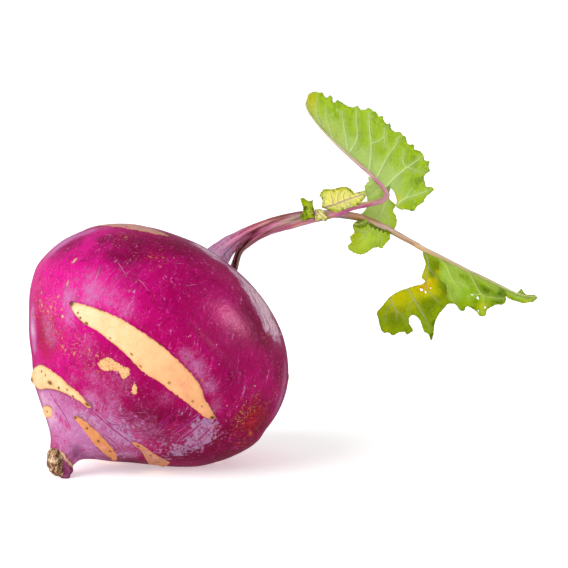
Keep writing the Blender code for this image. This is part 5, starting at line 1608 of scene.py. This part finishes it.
for name, node, blade, leafName, ribName in (
    ("tallBlade", "tall_leaf_blade", tallBlade, "leafGreen", "tallMidrib"),
    ("longBlade", "long_leaf_blade", longBlade, "longLeafGreen", "longMidrib"),
):
    buildBlade(name, node, blade, [leafFinishes[leafName], stalkFinish(ribName, blade["ribStations"])])

for name, lobe in stalkLobes.items():
    rim = smoothPath(lobe["margin"], 5, closed=True)
    base = rim[:, 1].min()
    outline = thinned(rim + 0.12 * np.c_[np.sin(rim[:, 1] * 7.0), np.sin(rim[:, 0] * 6.0)], 0.12)
    stock = Stock()
    addSheet(
        stock, outline, {**lobe, "pitch": leafMake["smallPitch"]},
        lambda places: lobe["depth"] + lobe["slope"] * (places[:, 1] - base))
    stock.make(name, [leafFinishes[lobe["finish"]]], lobe["node"], lobe["slot"])


# Floor, light and camera

studio = {
    "floorReach": 5.0,
    "floorSides": 64,
    "floorColours": {"paper": "f4f4f4", "paperPale": "f8f8f8"},
    "floorGlow": 0.42,
    "sunWay": (-0.66, 0.46, 0.60),      # right, up and front shares of the way the light comes from
    "sunStrength": 2.5,
    "sunSoftness": 50.0,                # degrees
    "lampWay": (0.93, 0.33, 0.24),      # a small lamp for the soft gleam on the bulb
    "lampPower": 10.0,
    "lampSize": 0.11,
    "lampDistance": 0.7,
    "sky": [(0.0, 0.34), (0.46, 0.34), (0.484, 1.02), (0.56, 1.02), (0.72, 0.5)],  # brightness from below to above
    "skyOffGloss": 0.6,                 # how much of the sky the gloss leaves out
    "lens": 134.06,
    "sensor": 36.0,
    "farthest": 20.0,
    "aim": (46.6, 21.56),               # where the camera looks, right of and above the bulb's middle, mm
    "cameraDistance": 0.75,
}


def makeFloor():
    mesh = bpy.data.meshes.new("floor")
    reach, sides = studio["floorReach"], studio["floorSides"]
    turns = np.linspace(0, math.tau, sides, endpoint=False)
    rim = [(reach * math.cos(turn), reach * math.sin(turn), 0.0) for turn in turns]
    mesh.from_pydata(rim, [], [tuple(range(sides))])
    floor = bpy.data.objects.new("floor", mesh)
    bpy.context.scene.collection.objects.link(floor)
    paper = Finish("floorPaper", studio["floorColours"], {
        "Roughness": 0.9, "Specular IOR Level": 0.1,
        "Emission Color": (1.0, 1.0, 1.0, 1.0), "Emission Strength": studio["floorGlow"],
    })
    cloud = paper.noise(paper.node("TexCoord", {}, {}, "Object"), 2.0, 2.0)
    plug(paper.tree, paper.shader.inputs["Base Color"], paper.mix("paper", "paperPale", cloud))
    mesh.materials.append(paper.material)
    floor.visible_glossy = False
    floor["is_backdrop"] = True


def makeLamp(name, data, shares):
    # a lamp turned toward the bulb; returns it and the way it shines from
    right, up, front = shares
    way = Vector((rightWay * right + upWay * up + frontWay * front).tolist()).normalized()
    lamp = bpy.data.objects.new(name, data)
    lamp.rotation_mode = "QUATERNION"
    lamp.rotation_quaternion = (-way).to_track_quat("-Z", "Y")
    bpy.context.scene.collection.objects.link(lamp)
    return lamp, way


def makeLight():
    data = bpy.data.lights.new("window", "SUN")
    data.energy, data.angle = studio["sunStrength"], math.radians(studio["sunSoftness"])
    sun, _ = makeLamp("window", data, studio["sunWay"])
    sun.visible_glossy = False
    data = bpy.data.lights.new("gleam", "AREA")
    data.shape, data.size, data.energy = "DISK", studio["lampSize"], studio["lampPower"]
    gleam, way = makeLamp("gleam", data, studio["lampWay"])
    gleam.location = seat + way * studio["lampDistance"]
    gleam.visible_diffuse = False

    world = bpy.data.worlds.new("studio")
    bpy.context.scene.world = world
    world.use_nodes = True
    sky = NodeTree(world.node_tree)
    background = world.node_tree.nodes["Background"]
    height = sky.node("SeparateXYZ", {}, {0: sky.node("TexCoord", {}, {}, "Generated")}, "Z") * 0.5 + 0.5
    greys = [(at, (level, level, level, 1.0)) for at, level in studio["sky"]]
    plug(sky.tree, background.inputs["Color"], sky.node("ValToRGB", {"stops": greys}, {"Fac": height}))
    glossy = sky.node("LightPath", {}, {}, "Is Glossy Ray")
    plug(sky.tree, background.inputs["Strength"], 1.0 - glossy * studio["skyOffGloss"])


def makeCamera():
    # faces the leaves' plane, aimed between the bulb and the leaves
    data = bpy.data.cameras.new("camera")
    data.lens, data.sensor_width, data.clip_end = studio["lens"], studio["sensor"], studio["farthest"]
    camera = bpy.data.objects.new("camera", data)
    right, up = studio["aim"]
    aim = np.array(seat) + (rightWay * right + upWay * up) * mm
    stand = Matrix.Translation(Vector((aim + frontWay * studio["cameraDistance"]).tolist()))
    camera.matrix_world = stand @ Vector((-frontWay).tolist()).to_track_quat("-Z", "Y").to_matrix().to_4x4()
    bpy.context.scene.collection.objects.link(camera)
    bpy.context.scene.camera = camera


makeFloor()
makeLight()
makeCamera()
print("made the floor, the lights and the camera")
bpy.context.scene.view_settings.view_transform = "Standard"
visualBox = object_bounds()
for label, box in (("cad", cadBox), ("visual", visualBox)):
    print(label, "box", [[round(v, 4) for v in corner] for corner in box])
